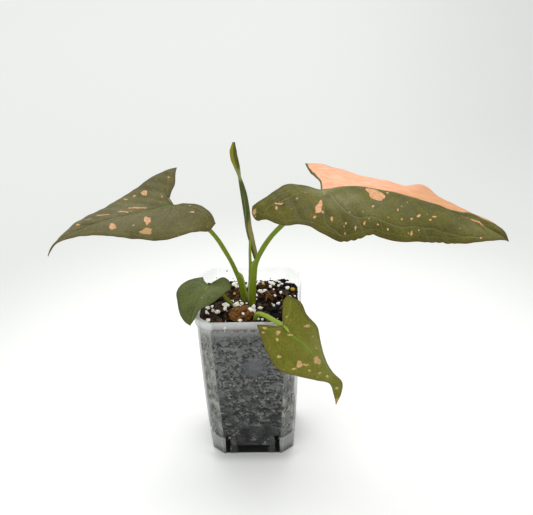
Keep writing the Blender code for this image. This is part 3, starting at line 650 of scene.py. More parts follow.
def make_vein_group():
    """A blade's veins from the distances that its mesh carries: midrib, laterals, lobe vein and rim."""
    inputs = {"Midrib": ("Float", 9.0), "Laterals": ("Float", 0.5), "Lobe vein": ("Float", 9.0),
              "Margin": ("Float", 9.0), "Place": ("Vector", None)}
    outputs = {"Midrib": "Float", "Veins": "Float", "Margin": "Float", "Net": "Float", "Height": "Float"}
    tree, given, result = new_group("leaf veins", inputs, outputs)
    costa = fade(tree, given["Midrib"], 0.2, 0.9, 1.0, 0.0)
    wave = maths(tree, "PINGPONG", given["Laterals"], 0.5)
    lateral = fade(tree, wave, 0.0, 0.035, 1.0, 0.0)
    lateral = times(tree, lateral, fade(tree, given["Laterals"], -0.2, 0.0))
    lateral = times(tree, lateral, fade(tree, given["Margin"], 1.0, 4.5))
    basal = fade(tree, size_of(tree, given["Lobe vein"]), 0.2, 0.9, 1.0, 0.0)
    inset = size_of(tree, minus(tree, given["Margin"], 3.4))
    collective = fade(tree, inset, 0.0, 0.5, 0.5, 0.0)
    veins = either(tree, either(tree, lateral, basal), collective)
    net_cells = cells(tree, given["Place"], 2.3, "DISTANCE_TO_EDGE")
    net = fade(tree, net_cells.outputs["Distance"], 0.0, 0.14, 1.0, 0.0)
    height = maths(tree, "MULTIPLY_ADD", veins, -0.7, 1.0)
    height = maths(tree, "MULTIPLY_ADD", net, -0.12, height)
    height = maths(tree, "MULTIPLY_ADD", costa, -0.8, height)
    height = maths(tree, "MULTIPLY_ADD", speckle(tree, given["Place"], 0.5), 0.12, height)
    edge = fade(tree, given["Margin"], 0.1, 0.7, 1.0, 0.0)
    fill(tree, result, {"Midrib": costa, "Veins": veins, "Margin": edge, "Net": net, "Height": height})
    return tree


def make_cloud_group():
    """Soft patches with a finer stipple over them, as leaves, bark and soil have."""
    inputs = {"Place": ("Vector", None), "Size": ("Float", 8.0), "Stipple": ("Float", 0.3)}
    tree, given, result = new_group("patches and stipple", inputs, {"Tone": "Float"})
    scale = maths(tree, "DIVIDE", 1 / MM, given["Size"])
    patches = node(tree, "ShaderNodeTexNoise", {"Vector": given["Place"], "Scale": scale, "Detail": 3.0})
    fine_scale = times(tree, scale, 9.0)
    stipple = node(tree, "ShaderNodeTexNoise", {"Vector": given["Place"], "Scale": fine_scale, "Detail": 1.0})
    tone = fade(tree, patches.outputs["Fac"], 0.3, 0.7)
    centred = minus(tree, stipple.outputs["Fac"], 0.5)
    tone = maths(tree, "MULTIPLY_ADD", centred, given["Stipple"], tone, clamp=True)
    tree.links.new(tone, result["Tone"])
    return tree


# Camera, light and floor


def make_camera():
    """A camera at the photograph's viewing angle."""
    down, turn, roll = (math.radians(angle) for angle in (CAMERA_DOWN, CAMERA_TURN, CAMERA_ROLL))
    ahead = Vector((-math.sin(turn) * math.cos(down), math.cos(turn) * math.cos(down), -math.sin(down)))
    level = Vector((math.cos(turn), math.sin(turn), 0))
    above = level.cross(ahead)
    right = level * math.cos(roll) - above * math.sin(roll)
    up = level * math.sin(roll) + above * math.cos(roll)
    data = bpy.data.cameras.new("camera")
    data.lens = CAMERA_LENS
    data.sensor_width = CAMERA_SENSOR
    camera = bpy.data.objects.new("camera", data)
    turned = Matrix((right, up, -ahead)).transposed().to_4x4()
    camera.matrix_world = Matrix.Translation(in_metres(CAMERA_PLACE)) @ turned
    bpy.context.scene.collection.objects.link(camera)
    bpy.context.scene.camera = camera
    return camera.location.copy(), right, up, ahead


def seen_through(view, pixel):
    """The direction in which the camera sees a pixel of the photograph."""
    _, right, up, ahead = view
    reach = CAMERA_LENS / CAMERA_SENSOR * PHOTO_SIZE[0]
    across = (pixel[0] - PHOTO_SIZE[0] / 2) / reach
    above = (PHOTO_SIZE[1] / 2 - pixel[1]) / reach
    return (ahead + right * across + up * above).normalized()


def area_light(name, place, aim, size, power):
    """A soft rectangular light that is aimed at a point."""
    data = bpy.data.lights.new(name, "AREA")
    data.shape = "RECTANGLE"
    data.size, data.size_y = size
    data.energy = power
    light = bpy.data.objects.new(name, data)
    light.location = place
    light.rotation_euler = (Vector(aim) - Vector(place)).to_track_quat("-Z", "Y").to_euler()
    bpy.context.scene.collection.objects.link(light)


def make_light():
    """A pale even sky and two soft lights, the stronger one behind the plant."""
    scene = bpy.context.scene
    scene.view_settings.view_transform = "Standard"
    scene.view_settings.exposure = 0.0
    world = bpy.data.worlds.new("studio")
    world.use_nodes = True
    world.node_tree.nodes["Background"].inputs["Color"].default_value = SKY[0]
    world.node_tree.nodes["Background"].inputs["Strength"].default_value = SKY[1]
    scene.world = world
    area_light("key light", *KEY_LIGHT)
    area_light("front light", *FRONT_LIGHT)


def make_floor():
    """A plain white sweep with painted shade: it turns light grey away from the plant and towards the back
    right, with a painted shadow in front of the pot and painted shade under it.
    """
    material, tree, shader, place = new_material("studio_floor")
    distance = node(tree, "ShaderNodeVectorMath", {0: place}, operation="LENGTH").outputs["Value"]
    x, y = axis_of(tree, place, "X"), axis_of(tree, place, "Y")
    # Painted shade: the floor greys with distance from the plant.
    near = fade(tree, distance, 0.13, 0.34)
    colour = mixed(tree, near, (0.985, 0.985, 0.975, 1), (0.665, 0.67, 0.655, 1))
    # More painted shade towards the back right.
    far_shade = times(tree, fade(tree, x, 0.0, 0.3), fade(tree, y, 0.2, 0.5))
    colour = mixed(tree, far_shade, colour, (0.56, 0.565, 0.56, 1))
    _, corner, face, _ = pot_masks(tree, place)
    outside = either(tree, times(tree, corner, 0.7), face)
    # Painted shadow that the pot casts forward onto the floor in front of it.
    contact_shadow = fade(tree, outside, 0.0, 12.0, 0.4, 0.0)
    contact_shadow = times(tree, contact_shadow, fade(tree, y, -0.022, -0.012, 1.0, 0.0))
    colour = mixed(tree, contact_shadow, colour, (0.30, 0.30, 0.30, 1))
    # Painted shade under the pot.
    under = fade(tree, outside, -1.6, -0.6, 1.0, 0.0)
    colour = mixed(tree, under, colour, (0.03, 0.03, 0.03, 1))
    fill(tree, shader.inputs, {"Base Color": colour, "Roughness": 0.9, "Specular IOR Level": 0.1})
    bm = bmesh.new()
    bmesh.ops.create_circle(bm, cap_ends=True, segments=64, radius=FLOOR_RADIUS)
    new_object("studio_floor", mesh_from(bm, "studio_floor"), material)


# Pot


def wall_width(z):
    """Outer width of the pot's plain wall at a height: the filling makes it bulge a little."""
    rim = RIM_WIDTH - 2 * RIM_STEP
    share = np.clip(z / POT_HEIGHT, 0.0, 1.0)
    return BASE_WIDTH + (rim - BASE_WIDTH) * z / POT_HEIGHT + WALL_BULGE * np.sin(math.pi * share**0.7)


def wall_corner(z):
    """How much the pot's corners are cut at a height."""
    return CORNER_BASE + (CORNER_TOP - CORNER_BASE) * z / POT_HEIGHT


def octagon(width, corner, z):
    """A square with cut corners, anticlockwise from the front edge's left end."""
    h, c = width / 2, width / 2 - corner
    return [(-c, -h, z), (c, -h, z), (h, -c, z), (h, c, z), (c, h, z), (-c, h, z), (-h, c, z), (-h, -c, z)]


def rounded(ring, share):
    """A ring with each corner drawn out into a curve that takes a share of the cut corner's length."""
    points = [Vector(point) for point in ring]
    cut_side = min((a - b).length for a, b in zip(points, points[1:]))
    soft = []
    for before, corner, after in zip(points[-1:] + points[:-1], points, points[1:] + points[:1]):
        start = corner + (before - corner).normalized() * cut_side * share
        end = corner + (after - corner).normalized() * cut_side * share
        for number in range(CORNER_STEPS + 1):
            t = number / CORNER_STEPS
            soft.append(start * (1 - t) ** 2 + corner * 2 * t * (1 - t) + end * t**2)
    return soft


def corner_share(z):
    """The pot's corners are crisp at its foot and well rounded at its rim."""
    return 0.08 + 0.14 * (z / POT_HEIGHT) ** 3


def outer_ring(width, corner, z):
    """An outline of the pot's outside."""
    return rounded(octagon(width, corner, z), corner_share(z))


def inner_ring(z, gap):
    """The pot's inside, a distance in from its outer face all round."""
    corner = wall_corner(z) - gap * (2 - math.sqrt(2))
    return rounded(octagon(wall_width(z) - 2 * gap, corner, z), corner_share(min(z, POT_HEIGHT)))


def add_rings(bm, rings):
    """Adds a closed skin through rings of equal size to a bmesh."""
    rows = [[bm.verts.new(point) for point in ring] for ring in rings]
    sides = len(rows[0])
    for low, high in zip(rows, rows[1:]):
        for i in range(sides):
            j = (i + 1) % sides
            bm.faces.new((low[i], low[j], high[j], high[i]))
    bm.faces.new(rows[0][::-1])
    bm.faces.new(rows[-1])


def loft(rings):
    """A closed solid through rings, listed upwards and each anticlockwise from above."""
    bm = bmesh.new()
    add_rings(bm, rings)
    bmesh.ops.recalc_face_normals(bm, faces=bm.faces)
    return bm


def block(low, high, turn=0.0):
    """A box between two corners, turned about the pot's axis."""
    bm = bmesh.new()
    bmesh.ops.create_cube(bm, size=1.0)
    bmesh.ops.scale(bm, vec=[b - a for a, b in zip(low, high)], verts=bm.verts)
    bmesh.ops.translate(bm, vec=[(a + b) / 2 for a, b in zip(low, high)], verts=bm.verts)
    bmesh.ops.rotate(bm, matrix=Matrix.Rotation(math.radians(turn), 3, "Z"), verts=bm.verts)
    return bm


def cut(obj, cutter):
    """Takes a cutter out of a piece and removes the cutter."""
    modifier = obj.modifiers.new("cut", "BOOLEAN")
    modifier.operation = "DIFFERENCE"
    modifier.object = cutter
    as_mesh(obj)
    bpy.data.objects.remove(cutter)


def slit_blocks():
    """Two drainage slits and a low arch between them, on each of the four sides."""
    half = BASE_WIDTH / 2
    spans = [(-ARCH_HALF, ARCH_HALF, ARCH_HEIGHT)]
    for side in (-1, 1):
        middle = side * SLIT_OFFSET
        spans.append((middle - SLIT_WIDTH / 2, middle + SLIT_WIDTH / 2, SLIT_HEIGHT))
    for quarter in range(4):
        for left, right, top in spans:
            yield block((left, -half - 4, -1), (right, -half + 1.6 * WALL, top), 90 * quarter)


def make_pot():
    """The pot again with a rolled lip, softened edges and a moulded rib under its rim."""
    band = POT_HEIGHT - RIM_BAND
    under = band - RIM_FLARE
    rings = [outer_ring(BASE_WIDTH - 0.5, CORNER_BASE, 0)]
    rings += [outer_ring(wall_width(z), wall_corner(z), z) for z in np.linspace(0.5, under, WALL_STEPS)]
    rings += [
        outer_ring(RIM_WIDTH - 0.4, CORNER_TOP, band),
        outer_ring(RIM_WIDTH, CORNER_TOP, POT_HEIGHT - 0.4),
        outer_ring(RIM_WIDTH - 0.5, CORNER_TOP, POT_HEIGHT),
    ]
    pot = object_from(loft(rings), "frosted_pot", smooth=False)
    floor_top = FLOOR_UNDER + WALL
    heights = np.linspace(floor_top, POT_HEIGHT + 2, WALL_STEPS)
    inside = object_from(loft([inner_ring(z, WALL) for z in heights]), "inside")
    reach = LEDGE_LINE / math.sqrt(2)
    for quarter in range(4):
        ledge = block((reach, -20, -5), (reach + 20, 20, LEDGE_UNDER + WALL), 45 + 90 * quarter)
        cut(inside, object_from(ledge, "ledge"))
    cut(pot, inside)
    hollow = object_from(loft([inner_ring(z, WALL) for z in (-1, LEDGE_UNDER)]), "underside")
    half = reach + WALL
    core = block((-half, -half, FLOOR_UNDER), (half, half, LEDGE_UNDER + 5), 45)
    cut(hollow, object_from(core, "floor"))
    cut(pot, hollow)
    for slit in slit_blocks():
        cut(pot, object_from(slit, "slit"))
    paint(pot, frosted_plastic())
    soften(pot, POT_EDGE, 3)
    dress(pot, "pot", "pot")


def soften(obj, width, segments):
    """Rounds a piece's edges by a width in millimetres."""
    bevel = obj.modifiers.new("edges", "BEVEL")
    bevel.width = width * MM
    bevel.segments = segments
    bevel.limit_method = "ANGLE"
    bevel.angle_limit = math.radians(28)
    bevel.harden_normals = True
    obj.data.shade_smooth()


def pot_masks(tree, place, bulge=0.0):
    """Height on the pot in millimetres, reach towards a cut corner and towards a face, and the place."""
    shift = (-POT_PLACE[0] * MM, -POT_PLACE[1] * MM, 0)
    place = node(tree, "ShaderNodeMapping", {"Vector": place, "Location": shift}).outputs[0]
    parts = node(tree, "ShaderNodeSeparateXYZ", {0: place}).outputs
    height = times(tree, parts["Z"], 1 / MM)
    x, y = (size_of(tree, times(tree, parts[axis], 1 / MM)) for axis in "XY")
    slope = (RIM_WIDTH - 2 * RIM_STEP - BASE_WIDTH) / POT_HEIGHT
    width = maths(tree, "MULTIPLY_ADD", height, slope, BASE_WIDTH)
    if bulge:
        share = maths(tree, "DIVIDE", height, POT_HEIGHT, clamp=True)
        wave = maths(tree, "SINE", times(tree, maths(tree, "POWER", share, 0.7), math.pi))
        width = maths(tree, "MULTIPLY_ADD", wave, bulge, width)
    corner = minus(tree, plus(tree, x, y), minus(tree, width, CORNER_BASE))
    face = minus(tree, either(tree, x, y), times(tree, width, 0.5))
    return height, corner, face, place


def frosted_plastic():
    """Clear plastic gone milky: a thin haze on the walls, thicker at the rim, corners, feet and edge-on; a
    painted highlight along the edges, a back rim thinned as if lit through, and feet in painted shade.
    """
    material, tree, shader, place = new_material("frosted_plastic")
    height, corner, face, place = pot_masks(tree, place, WALL_BULGE)
    back = axis_of(tree, place, "Y")
    band = POT_HEIGHT - RIM_BAND
    rim = fade(tree, height, band - 0.3, band + 0.9, 0, 0.2)
    rim = plus(tree, rim, fade(tree, height, 97.0, band, 0.0, 0.1))
    rim = plus(tree, rim, fade(tree, height, band, POT_HEIGHT, 0.0, 0.18))
    rounding = times(tree, fade(tree, corner, -3.0, -1.0), fade(tree, height, 98.0, band, 0.0, 0.22))
    rim = plus(tree, rim, rounding)
    # Painted light: the rim's haze thins towards the back, so the back rim looks lit through from behind.
    rim = times(tree, rim, fade(tree, back, -0.026, 0.01, 1.0, 0.1))
    chamfer = fade(tree, corner, -3.0, -1.5, 0.0, 0.04)
    # A painted highlight: a dotted line of light haze along the vertical edges, fading out towards the rim.
    arris_highlight = times(tree, fade(tree, corner, -0.6, -0.1, 0.0, 0.45), fade(tree, face, -0.6, -0.1))
    dotted = fade(tree, speckle(tree, place, 1.3), 0.42, 0.58)
    arris_highlight = times(tree, arris_highlight, dotted)
    arris_highlight = times(tree, arris_highlight, fade(tree, height, 70.0, 96.0, 1.0, 0.0))
    outside = either(tree, fade(tree, corner, -3.0, -2.0), fade(tree, face, -1.6, -1.2))
    foot = times(tree, fade(tree, height, 13.0, 15.5, 0.45, 0.0), outside)
    foot = times(tree, foot, fade(tree, corner, -3.6, -2.6, 0.42, 1.0))
    foot = times(tree, foot, fade(tree, corner, -10.3, -9.5))
    smear = fade(tree, speckle(tree, stretched(tree, place, (1, 1, 0.35)), 9.0, 3.0), 0.45, 0.75, 0.0, 0.03)
    haze = fade(tree, height, 15.0, 85.0, 0.003, 0.009)
    smear = times(tree, smear, fade(tree, height, 15.0, 85.0, 0.3, 1.0))
    for part in (rim, chamfer, arris_highlight, foot, smear):
        haze = plus(tree, part, haze)
    facing = node(tree, "ShaderNodeLayerWeight", {"Blend": 0.5}).outputs["Facing"]
    edge_on = fade(tree, facing, 0.6, 0.92)
    side = times(tree, edge_on, fade(tree, height, 102.0, POT_HEIGHT, 0.62, 0.08))
    haze = plus(tree, haze, side, clamp=True)
    grain = plus(tree, speckle(tree, place, 0.35), speckle(tree, place, 6.0))
    # Painted shade: the feet darken towards the floor, darkest mid-side by the arches.
    low = mixed(tree, fade(tree, height, 0.0, 9.0), (0.15, 0.15, 0.145, 1), (0.40, 0.41, 0.40, 1))
    low = mixed(tree, fade(tree, corner, -6.5, -4.5, 0.75, 0.0), low, (0.07, 0.07, 0.07, 1))
    colour = mixed(tree, fade(tree, height, 12.0, 17.0), low, (0.80, 0.81, 0.80, 1))
    colour = mixed(tree, side, colour, (0.42, 0.43, 0.42, 1))
    fill(tree, shader.inputs, {
        "Base Color": colour, "Roughness": 0.32, "Alpha": haze, "Normal": bumped(tree, grain, 0.12, 0.5),
    })
    return material


# Potting mix


def curls(tree, noise_value, shown, thin, wide):
    """Curled strokes along the middle level of a noise, kept only where another mask shows them."""
    ridge = size_of(tree, minus(tree, noise_value, 0.5))
    return times(tree, fade(tree, ridge, thin, wide, 1.0, 0.0), shown)


def wall_film(tree, place, film):
    """The mix seen through a face: a grey film with warm and light patches, and a soft sheen."""
    colour = mixed(tree, fade(tree, film, 0.3, 0.7), tint(38, 40, 41), tint(108, 110, 110))
    warm = fade(tree, speckle(tree, place, 3.2), 0.58, 0.72, 0.0, 0.35)
    colour = mixed(tree, warm, colour, tint(96, 90, 74))
    squat = stretched(tree, place, (1, 1, 1.4))
    light_marks = fade(tree, speckle(tree, squat, 5.0, 2.5), 0.53, 0.62, 0.0, 0.55)
    colour = mixed(tree, light_marks, colour, tint(128, 129, 124))
    inputs = {0: place, 1: SHEEN_PLACE}
    away = node(tree, "ShaderNodeVectorMath", inputs, operation="DISTANCE").outputs["Value"]
    away = maths(tree, "MULTIPLY_ADD", speckle(tree, place, 5.0), 0.008, away)
    sheen = fade(tree, away, 0.008, 0.014, 1.0, 0.0)
    return mixed(tree, times(tree, sheen, 0.7), colour, tint(78, 83, 90)), sheen


def corner_film(tree, place, height):
    """The lighter film in a cut corner, mottled, and lighter still towards the rim."""
    mottle = fade(tree, speckle(tree, stretched(tree, place, (1, 1, 0.6)), 4.5, 3.0), 0.42, 0.6)
    lighter = maths(tree, "MULTIPLY_ADD", mottle, 0.6, fade(tree, height, 60.0, 98.0, 0.0, 0.4))
    return mixed(tree, lighter, tint(102, 103, 96), tint(176, 177, 168))


def crumb_marks(tree, place, in_corner):
    """Dark curled crumbs and blots on the faces, and longer wisps in the cut corners."""
    blots = stretched(tree, place, (1, 1, 1.4))
    blots = fade(tree, speckle(tree, blots, 4.2, 2.5, 0.55, 0.8), 0.55, 0.64)
    curled = speckle(tree, stretched(tree, place, (1.0, 1.0, 1.6)), 7.0, 2.5, 0.55, 1.1)
    broken = fade(tree, speckle(tree, place, 3.4, 1.0), 0.42, 0.5)
    dark = either(tree, curls(tree, curled, broken, 0.03, 0.08), blots)
    wisps = speckle(tree, stretched(tree, place, (1.5, 1.5, 1.0)), 6.5, 2.0, 0.55, 1.6)
    parted = fade(tree, speckle(tree, place, 6.0, 1.0), 0.44, 0.52)
    return mixed(tree, in_corner, dark, curls(tree, wisps, parted, 0.03, 0.07))


def pale_specks(tree, place):
    """A mask of small round specks, in a few of the cells of a pattern."""
    specks = cells(tree, place, 3.6)
    rare = node(tree, "ShaderNodeSeparateColor", {0: specks.outputs["Color"]}).outputs[1]
    speck = fade(tree, specks.outputs["Distance"], 0.12, 0.24, 0.85, 0.0)
    return times(tree, speck, fade(tree, rare, 0.62, 0.66))


def soil_material():
    """The mix through the wall: a grey film, light cut corners, dark crumbs, pale specks, a dark top."""
    material, tree, shader, place = new_material("potting_mix_side")
    height, corner, face, place = pot_masks(tree, place)
    broad = maths(tree, "MULTIPLY_ADD", speckle(tree, place, 7.0, 2.0), 0.5, 0.25)
    film = plus(tree, broad, fade(tree, height, 8.0, 92.0, -0.13, 0.12))
    colour, sheen = wall_film(tree, place, film)
    in_corner = fade(tree, corner, -2.9, -2.1)
    pale_share = times(tree, in_corner, fade(tree, height, 12.0, 30.0, 0.5, 0.92))
    colour = mixed(tree, pale_share, colour, corner_film(tree, place, height))
    strength = fade(tree, height, 92.0, 104.0, 0.95, 0.3)
    strength = times(tree, strength, fade(tree, sheen, 0.0, 1.0, 1.0, 0.2))
    marks = times(tree, crumb_marks(tree, place, in_corner), strength)
    colour = mixed(tree, marks, colour, tint(16, 16, 17))
    colour = mixed(tree, pale_specks(tree, place), colour, tint(164, 162, 146))
    high = times(tree, fade(tree, height, 97.0, 104.0), fade(tree, face, -4.5, -3.0))
    colour = mixed(tree, times(tree, high, 0.55), colour, tint(112, 114, 112))
    up = axis_of(tree, node(tree, "ShaderNodeNewGeometry").outputs["Normal"], "Z")
    top = times(tree, fade(tree, up, 0.1, 0.3), fade(tree, height, 80.0, 90.0))
    earth = mixed(tree, fade(tree, film, 0.4, 0.8), tint(4, 3, 3), tint(26, 19, 15))
    colour = mixed(tree, top, colour, earth)
    grain = speckle(tree, place, 0.6, 3.0)
    fill(tree, shader.inputs, {"Base Color": colour, "Roughness": 0.85, "Normal": bumped(tree, grain, 0.6)})
    return material


def grain_material(name, dark, light, size, roughness, depth,
                   stipple=0.5, coat=0.0, soft=0.0, gap_shade=0.0, painted_glow=0.0):
    """A crumb, chip or grain: patches of two colours, varied from piece to piece, with a rough skin, painted
    shade in dark hollows that gather towards the pot's right, and a faint painted glow.
    """
    material, tree, shader, place = new_material(name)
    tone = patches_of(tree, place, size, stipple)
    own = maths(tree, "POWER", attribute(tree, "tone"), 1.8)
    tone = maths(tree, "MULTIPLY_ADD", own, 0.6, times(tree, tone, 0.5), clamp=True)
    colour = mixed(tree, tone, dark, light)
    right = axis_of(tree, place, "X")
    # Painted shade: dark hollows among the grains, more of them towards the pot's right under the front leaf.
    shade = fade(tree, right, -0.016, 0.002, 0.03, -0.17)
    shaded_hollows = plus(tree, speckle(tree, place, 6.0, 1.0), shade)
    shaded = fade(tree, shaded_hollows, 0.44, 0.56, gap_shade, 0.0)
    colour = mixed(tree, shaded, colour, tint(6, 5, 5))
    pits = plus(tree, speckle(tree, place, size * 0.12, 3.0), speckle(tree, place, size * 0.4))
    fill(tree, shader.inputs, {
        "Base Color": colour, "Roughness": roughness, "Specular IOR Level": 0.2, "Coat Weight": coat,
        "Subsurface Weight": soft, "Subsurface Scale": 0.001,
        "Emission Color": light, "Emission Strength": painted_glow,
        "Normal": bumped(tree, pits, depth),
    })
    return material


def coir_material():
    """Coconut husk: short brown fibres pressed together."""
    material, tree, shader, place = new_material("coir_husk")
    fibres = speckle(tree, stretched(tree, place, (0.3, 1.0, 1.4)), 0.9, 3.0, 0.6, 1.2)
    cross = speckle(tree, stretched(tree, place, (1.2, 0.4, 0.9)), 1.0, 2.0, 0.6, 0.8)
    tone = times(tree, fade(tree, fibres, 0.36, 0.62), fade(tree, cross, 0.3, 0.55, 0.25, 1.0))
    colour = mixed(tree, tone, tint(56, 32, 12), tint(188, 132, 74))
    patch = fade(tree, speckle(tree, place, 4.0), 0.45, 0.7)
    colour = mixed(tree, times(tree, patch, 0.5), colour, tint(84, 50, 24))
    fill(tree, shader.inputs, {
        "Base Color": colour, "Roughness": 0.95, "Specular IOR Level": 0.12,
        "Normal": bumped(tree, fibres, 1.2),
    })
    return material


def bark_material():
    """Pine bark: thin dark layers of cork, warmer where a face is freshly broken."""
    material, tree, shader, place = new_material("bark_layers")
    layers = speckle(tree, stretched(tree, place, (0.45, 1.0, 2.0)), 1.9, 4.0, 0.65, 0.6)
    tone = fade(tree, layers, 0.42, 0.62)
    warmth = attribute(tree, "tone")
    light = mixed(tree, warmth, tint(100, 80, 62), tint(108, 70, 38))
    colour = mixed(tree, tone, tint(14, 9, 6), light)
    patch = fade(tree, speckle(tree, place, 5.0), 0.42, 0.6)
    warm_patch = mixed(tree, warmth, tint(36, 26, 20), tint(74, 44, 24))
    colour = mixed(tree, times(tree, patch, 0.6), colour, warm_patch)
    fill(tree, shader.inputs, {
        "Base Color": colour, "Roughness": 0.85, "Specular IOR Level": 0.15,
        "Normal": bumped(tree, layers, 0.9),
    })
    return material


def make_chip(name, chip, material, seed):
    """A broken piece of bark or coir: flat faces that meet at worn edges, and a flat underside."""
    middle, size, turn, warmth = chip
    rng = np.random.default_rng(seed + 40)
    is_coir = name == "coir_chip"
    faces = rng.normal(size=(CHIP_FACES * (4 if is_coir else 1), 3))
    faces /= np.linalg.norm(faces, axis=1)[:, None]
    reach = rng.uniform(0.9 if is_coir else 0.68, 1.0 if is_coir else 0.92, len(faces))
    bm = bmesh.new()
    bmesh.ops.create_icosphere(bm, subdivisions=5, radius=1.0)
    shift = Vector((seed * 3.1, seed * 1.7, 0.4))
    for vert in bm.verts:
        point = vert.co.copy()
        limit = (reach / np.maximum(faces @ np.array(point), 0.15)).min()
        broken = noise.noise(point * 4.5 + shift) * 0.09 + noise.noise(point * 12 + shift) * 0.05
        vert.co *= min(limit, 1.25) + broken * (1.7 if is_coir else 1.0)
        vert.co.z = max(vert.co.z, CHIP_FLAT)
        vert.co = [max(-1.0, min(1.0, value)) * extent / 2 for value, extent in zip(vert.co, size)]
    bmesh.ops.rotate(bm, matrix=Matrix.Rotation(math.radians(turn), 3, "Z"), verts=bm.verts)
    bmesh.ops.translate(bm, vec=middle, verts=bm.verts)
    chip_piece = object_from(bm, f"{name}_rough", material)
    set_attributes(chip_piece, tone=np.full(len(chip_piece.data.vertices), warmth))
    return chip_piece


def mix_surface():
    """The upward faces of the mix, merged, as the ground that the crumbs are strewn on."""
    bm = bmesh.new()
    bm.from_mesh(bpy.data.objects["potting_mix"].data)
    bmesh.ops.remove_doubles(bm, verts=bm.verts, dist=1e-6)
    low = (MIX_TOP - 9) * MM
    below = [face for face in bm.faces if face.normal.z < 0.25 or face.calc_center_median().z < low]
    bmesh.ops.delete(bm, geom=below, context="FACES")
    return new_object("mix_surface", mesh_from(bm, "mix_surface"))


def grain_shape(tree, seed, rough):
    """One grain of unit size, lumpy, a few dozen faces."""
    ball = node(tree, "GeometryNodeMeshIcoSphere", {"Radius": 0.5, "Subdivisions": 2}).outputs["Mesh"]
    inputs = {"Scale": 1.9, "Detail": 1.0, "W": seed * 3.7}
    lumps = node(tree, "ShaderNodeTexNoise", inputs, noise_dimensions="4D").outputs["Color"]
    centred = node(tree, "ShaderNodeVectorMath", {0: lumps, 1: (0.5, 0.5, 0.5)}, operation="SUBTRACT")
    offset = node(tree, "ShaderNodeVectorMath", {0: centred.outputs[0], "Scale": rough}, operation="SCALE")
    return node(tree, "GeometryNodeSetPosition", {"Geometry": ball, "Offset": offset.outputs[0]}).outputs[0]


def random_value(tree, kind, low, high, seed):
    """A random number, vector or whole number for each grain."""
    first = {"FLOAT_VECTOR": 0, "FLOAT": 2, "INT": 4}[kind]
    inputs = {first: low, first + 1: high, "Seed": seed}
    made = node(tree, "FunctionNodeRandomValue", inputs, data_type=kind)
    return made.outputs[{"FLOAT_VECTOR": 0, "FLOAT": 1, "INT": 2}[kind]]


def make_grain_tree(name, flatness, rough):
    """Strews grains of mixed sizes and shapes over a surface, each turned its own way."""
    tree = bpy.data.node_groups.new(name, "GeometryNodeTree")
    tree.interface.new_socket("Ground", in_out="INPUT", socket_type="NodeSocketGeometry")
    for label in ("Grains per square metre", "Least size", "Largest size"):
        tree.interface.new_socket(label, in_out="INPUT", socket_type="NodeSocketFloat")
    tree.interface.new_socket("Seed", in_out="INPUT", socket_type="NodeSocketInt")
    tree.interface.new_socket("Skin", in_out="INPUT", socket_type="NodeSocketMaterial")
    tree.interface.new_socket("Grains", in_out="OUTPUT", socket_type="NodeSocketGeometry")
    given = node(tree, "NodeGroupInput").outputs
    strewn = node(tree, "GeometryNodeDistributePointsOnFaces", {
        "Mesh": given["Ground"], "Density": given["Grains per square metre"], "Seed": given["Seed"],
    })
    choice = node(tree, "GeometryNodeJoinGeometry")
    for seed in range(GRAIN_SHAPES):
        single = node(tree, "GeometryNodeGeometryToInstance", {0: grain_shape(tree, seed, rough)})
        tree.links.new(single.outputs[0], choice.inputs[0])
    small = maths(tree, "POWER", random_value(tree, "FLOAT", 0.0, 1.0, 11), 2.2)
    span = minus(tree, given["Largest size"], given["Least size"])
    size = maths(tree, "MULTIPLY_ADD", small, span, given["Least size"])
    shape = random_value(tree, "FLOAT_VECTOR", (0.75, 0.6, flatness), (1.25, 1.0, flatness * 1.8), 12)
    scale = node(tree, "ShaderNodeVectorMath", {0: shape, "Scale": size}, operation="SCALE").outputs[0]
    turn = random_value(tree, "FLOAT_VECTOR", (-0.8, -0.8, 0.0), (0.8, 0.8, 2 * math.pi), 13)
    grains = node(tree, "GeometryNodeInstanceOnPoints", {
        "Points": strewn.outputs["Points"], "Instance": choice.outputs[0], "Pick Instance": True,
        "Instance Index": random_value(tree, "INT", 0, GRAIN_SHAPES - 1, 14),
        "Rotation": node(tree, "FunctionNodeEulerToRotation", {0: turn}).outputs[0], "Scale": scale,
    })
    toned = node(tree, "GeometryNodeStoreNamedAttribute", {
        "Geometry": grains.outputs[0], "Name": "tone", "Value": random_value(tree, "FLOAT", 0.0, 1.0, 15),
    }, data_type="FLOAT", domain="INSTANCE")
    real = node(tree, "GeometryNodeRealizeInstances", {0: toned.outputs[0]})
    skinned = node(tree, "GeometryNodeSetMaterial", {"Geometry": real.outputs[0], "Material": given["Skin"]})
    end = node(tree, "NodeGroupOutput")
    tree.links.new(skinned.outputs[0], end.inputs[0])
    return tree


def press_inside(obj):
    """Presses what lies against the wall flat on the pot's inner face."""
    points = in_millimetres(points_of(obj.data))
    half = wall_width(points[:, 2]) / 2 - PRESS_GAP
    for axis in (0, 1):
        points[:, axis] = np.clip(points[:, axis], -half, half)
    line = 2 * half - wall_corner(points[:, 2]) + PRESS_GAP * (2 - math.sqrt(2))
    over = np.maximum(0.0, np.abs(points[:, 0]) + np.abs(points[:, 1]) - line) / 2
    for axis in (0, 1):
        points[:, axis] -= np.sign(points[:, axis]) * over
    set_points(obj.data, in_metres(points))


def strew(name, ground, tree, per_square_metre, sizes, seed, material):
    """A piece made of grains strewn over the mix by a node tree."""
    obj = new_object(name, ground.data.copy())
    modifier = obj.modifiers.new("grains", "NODES")
    modifier.node_group = tree
    values = {"Grains per square metre": per_square_metre, "Least size": sizes[0] * MM,
              "Largest size": sizes[1] * MM, "Seed": seed, "Skin": material}
    for item in tree.interface.items_tree:
        if item.in_out == "INPUT" and item.name in values:
            modifier[item.identifier] = values[item.name]
    as_mesh(obj)
    press_inside(obj)
    return dress(obj, "potting_mix")


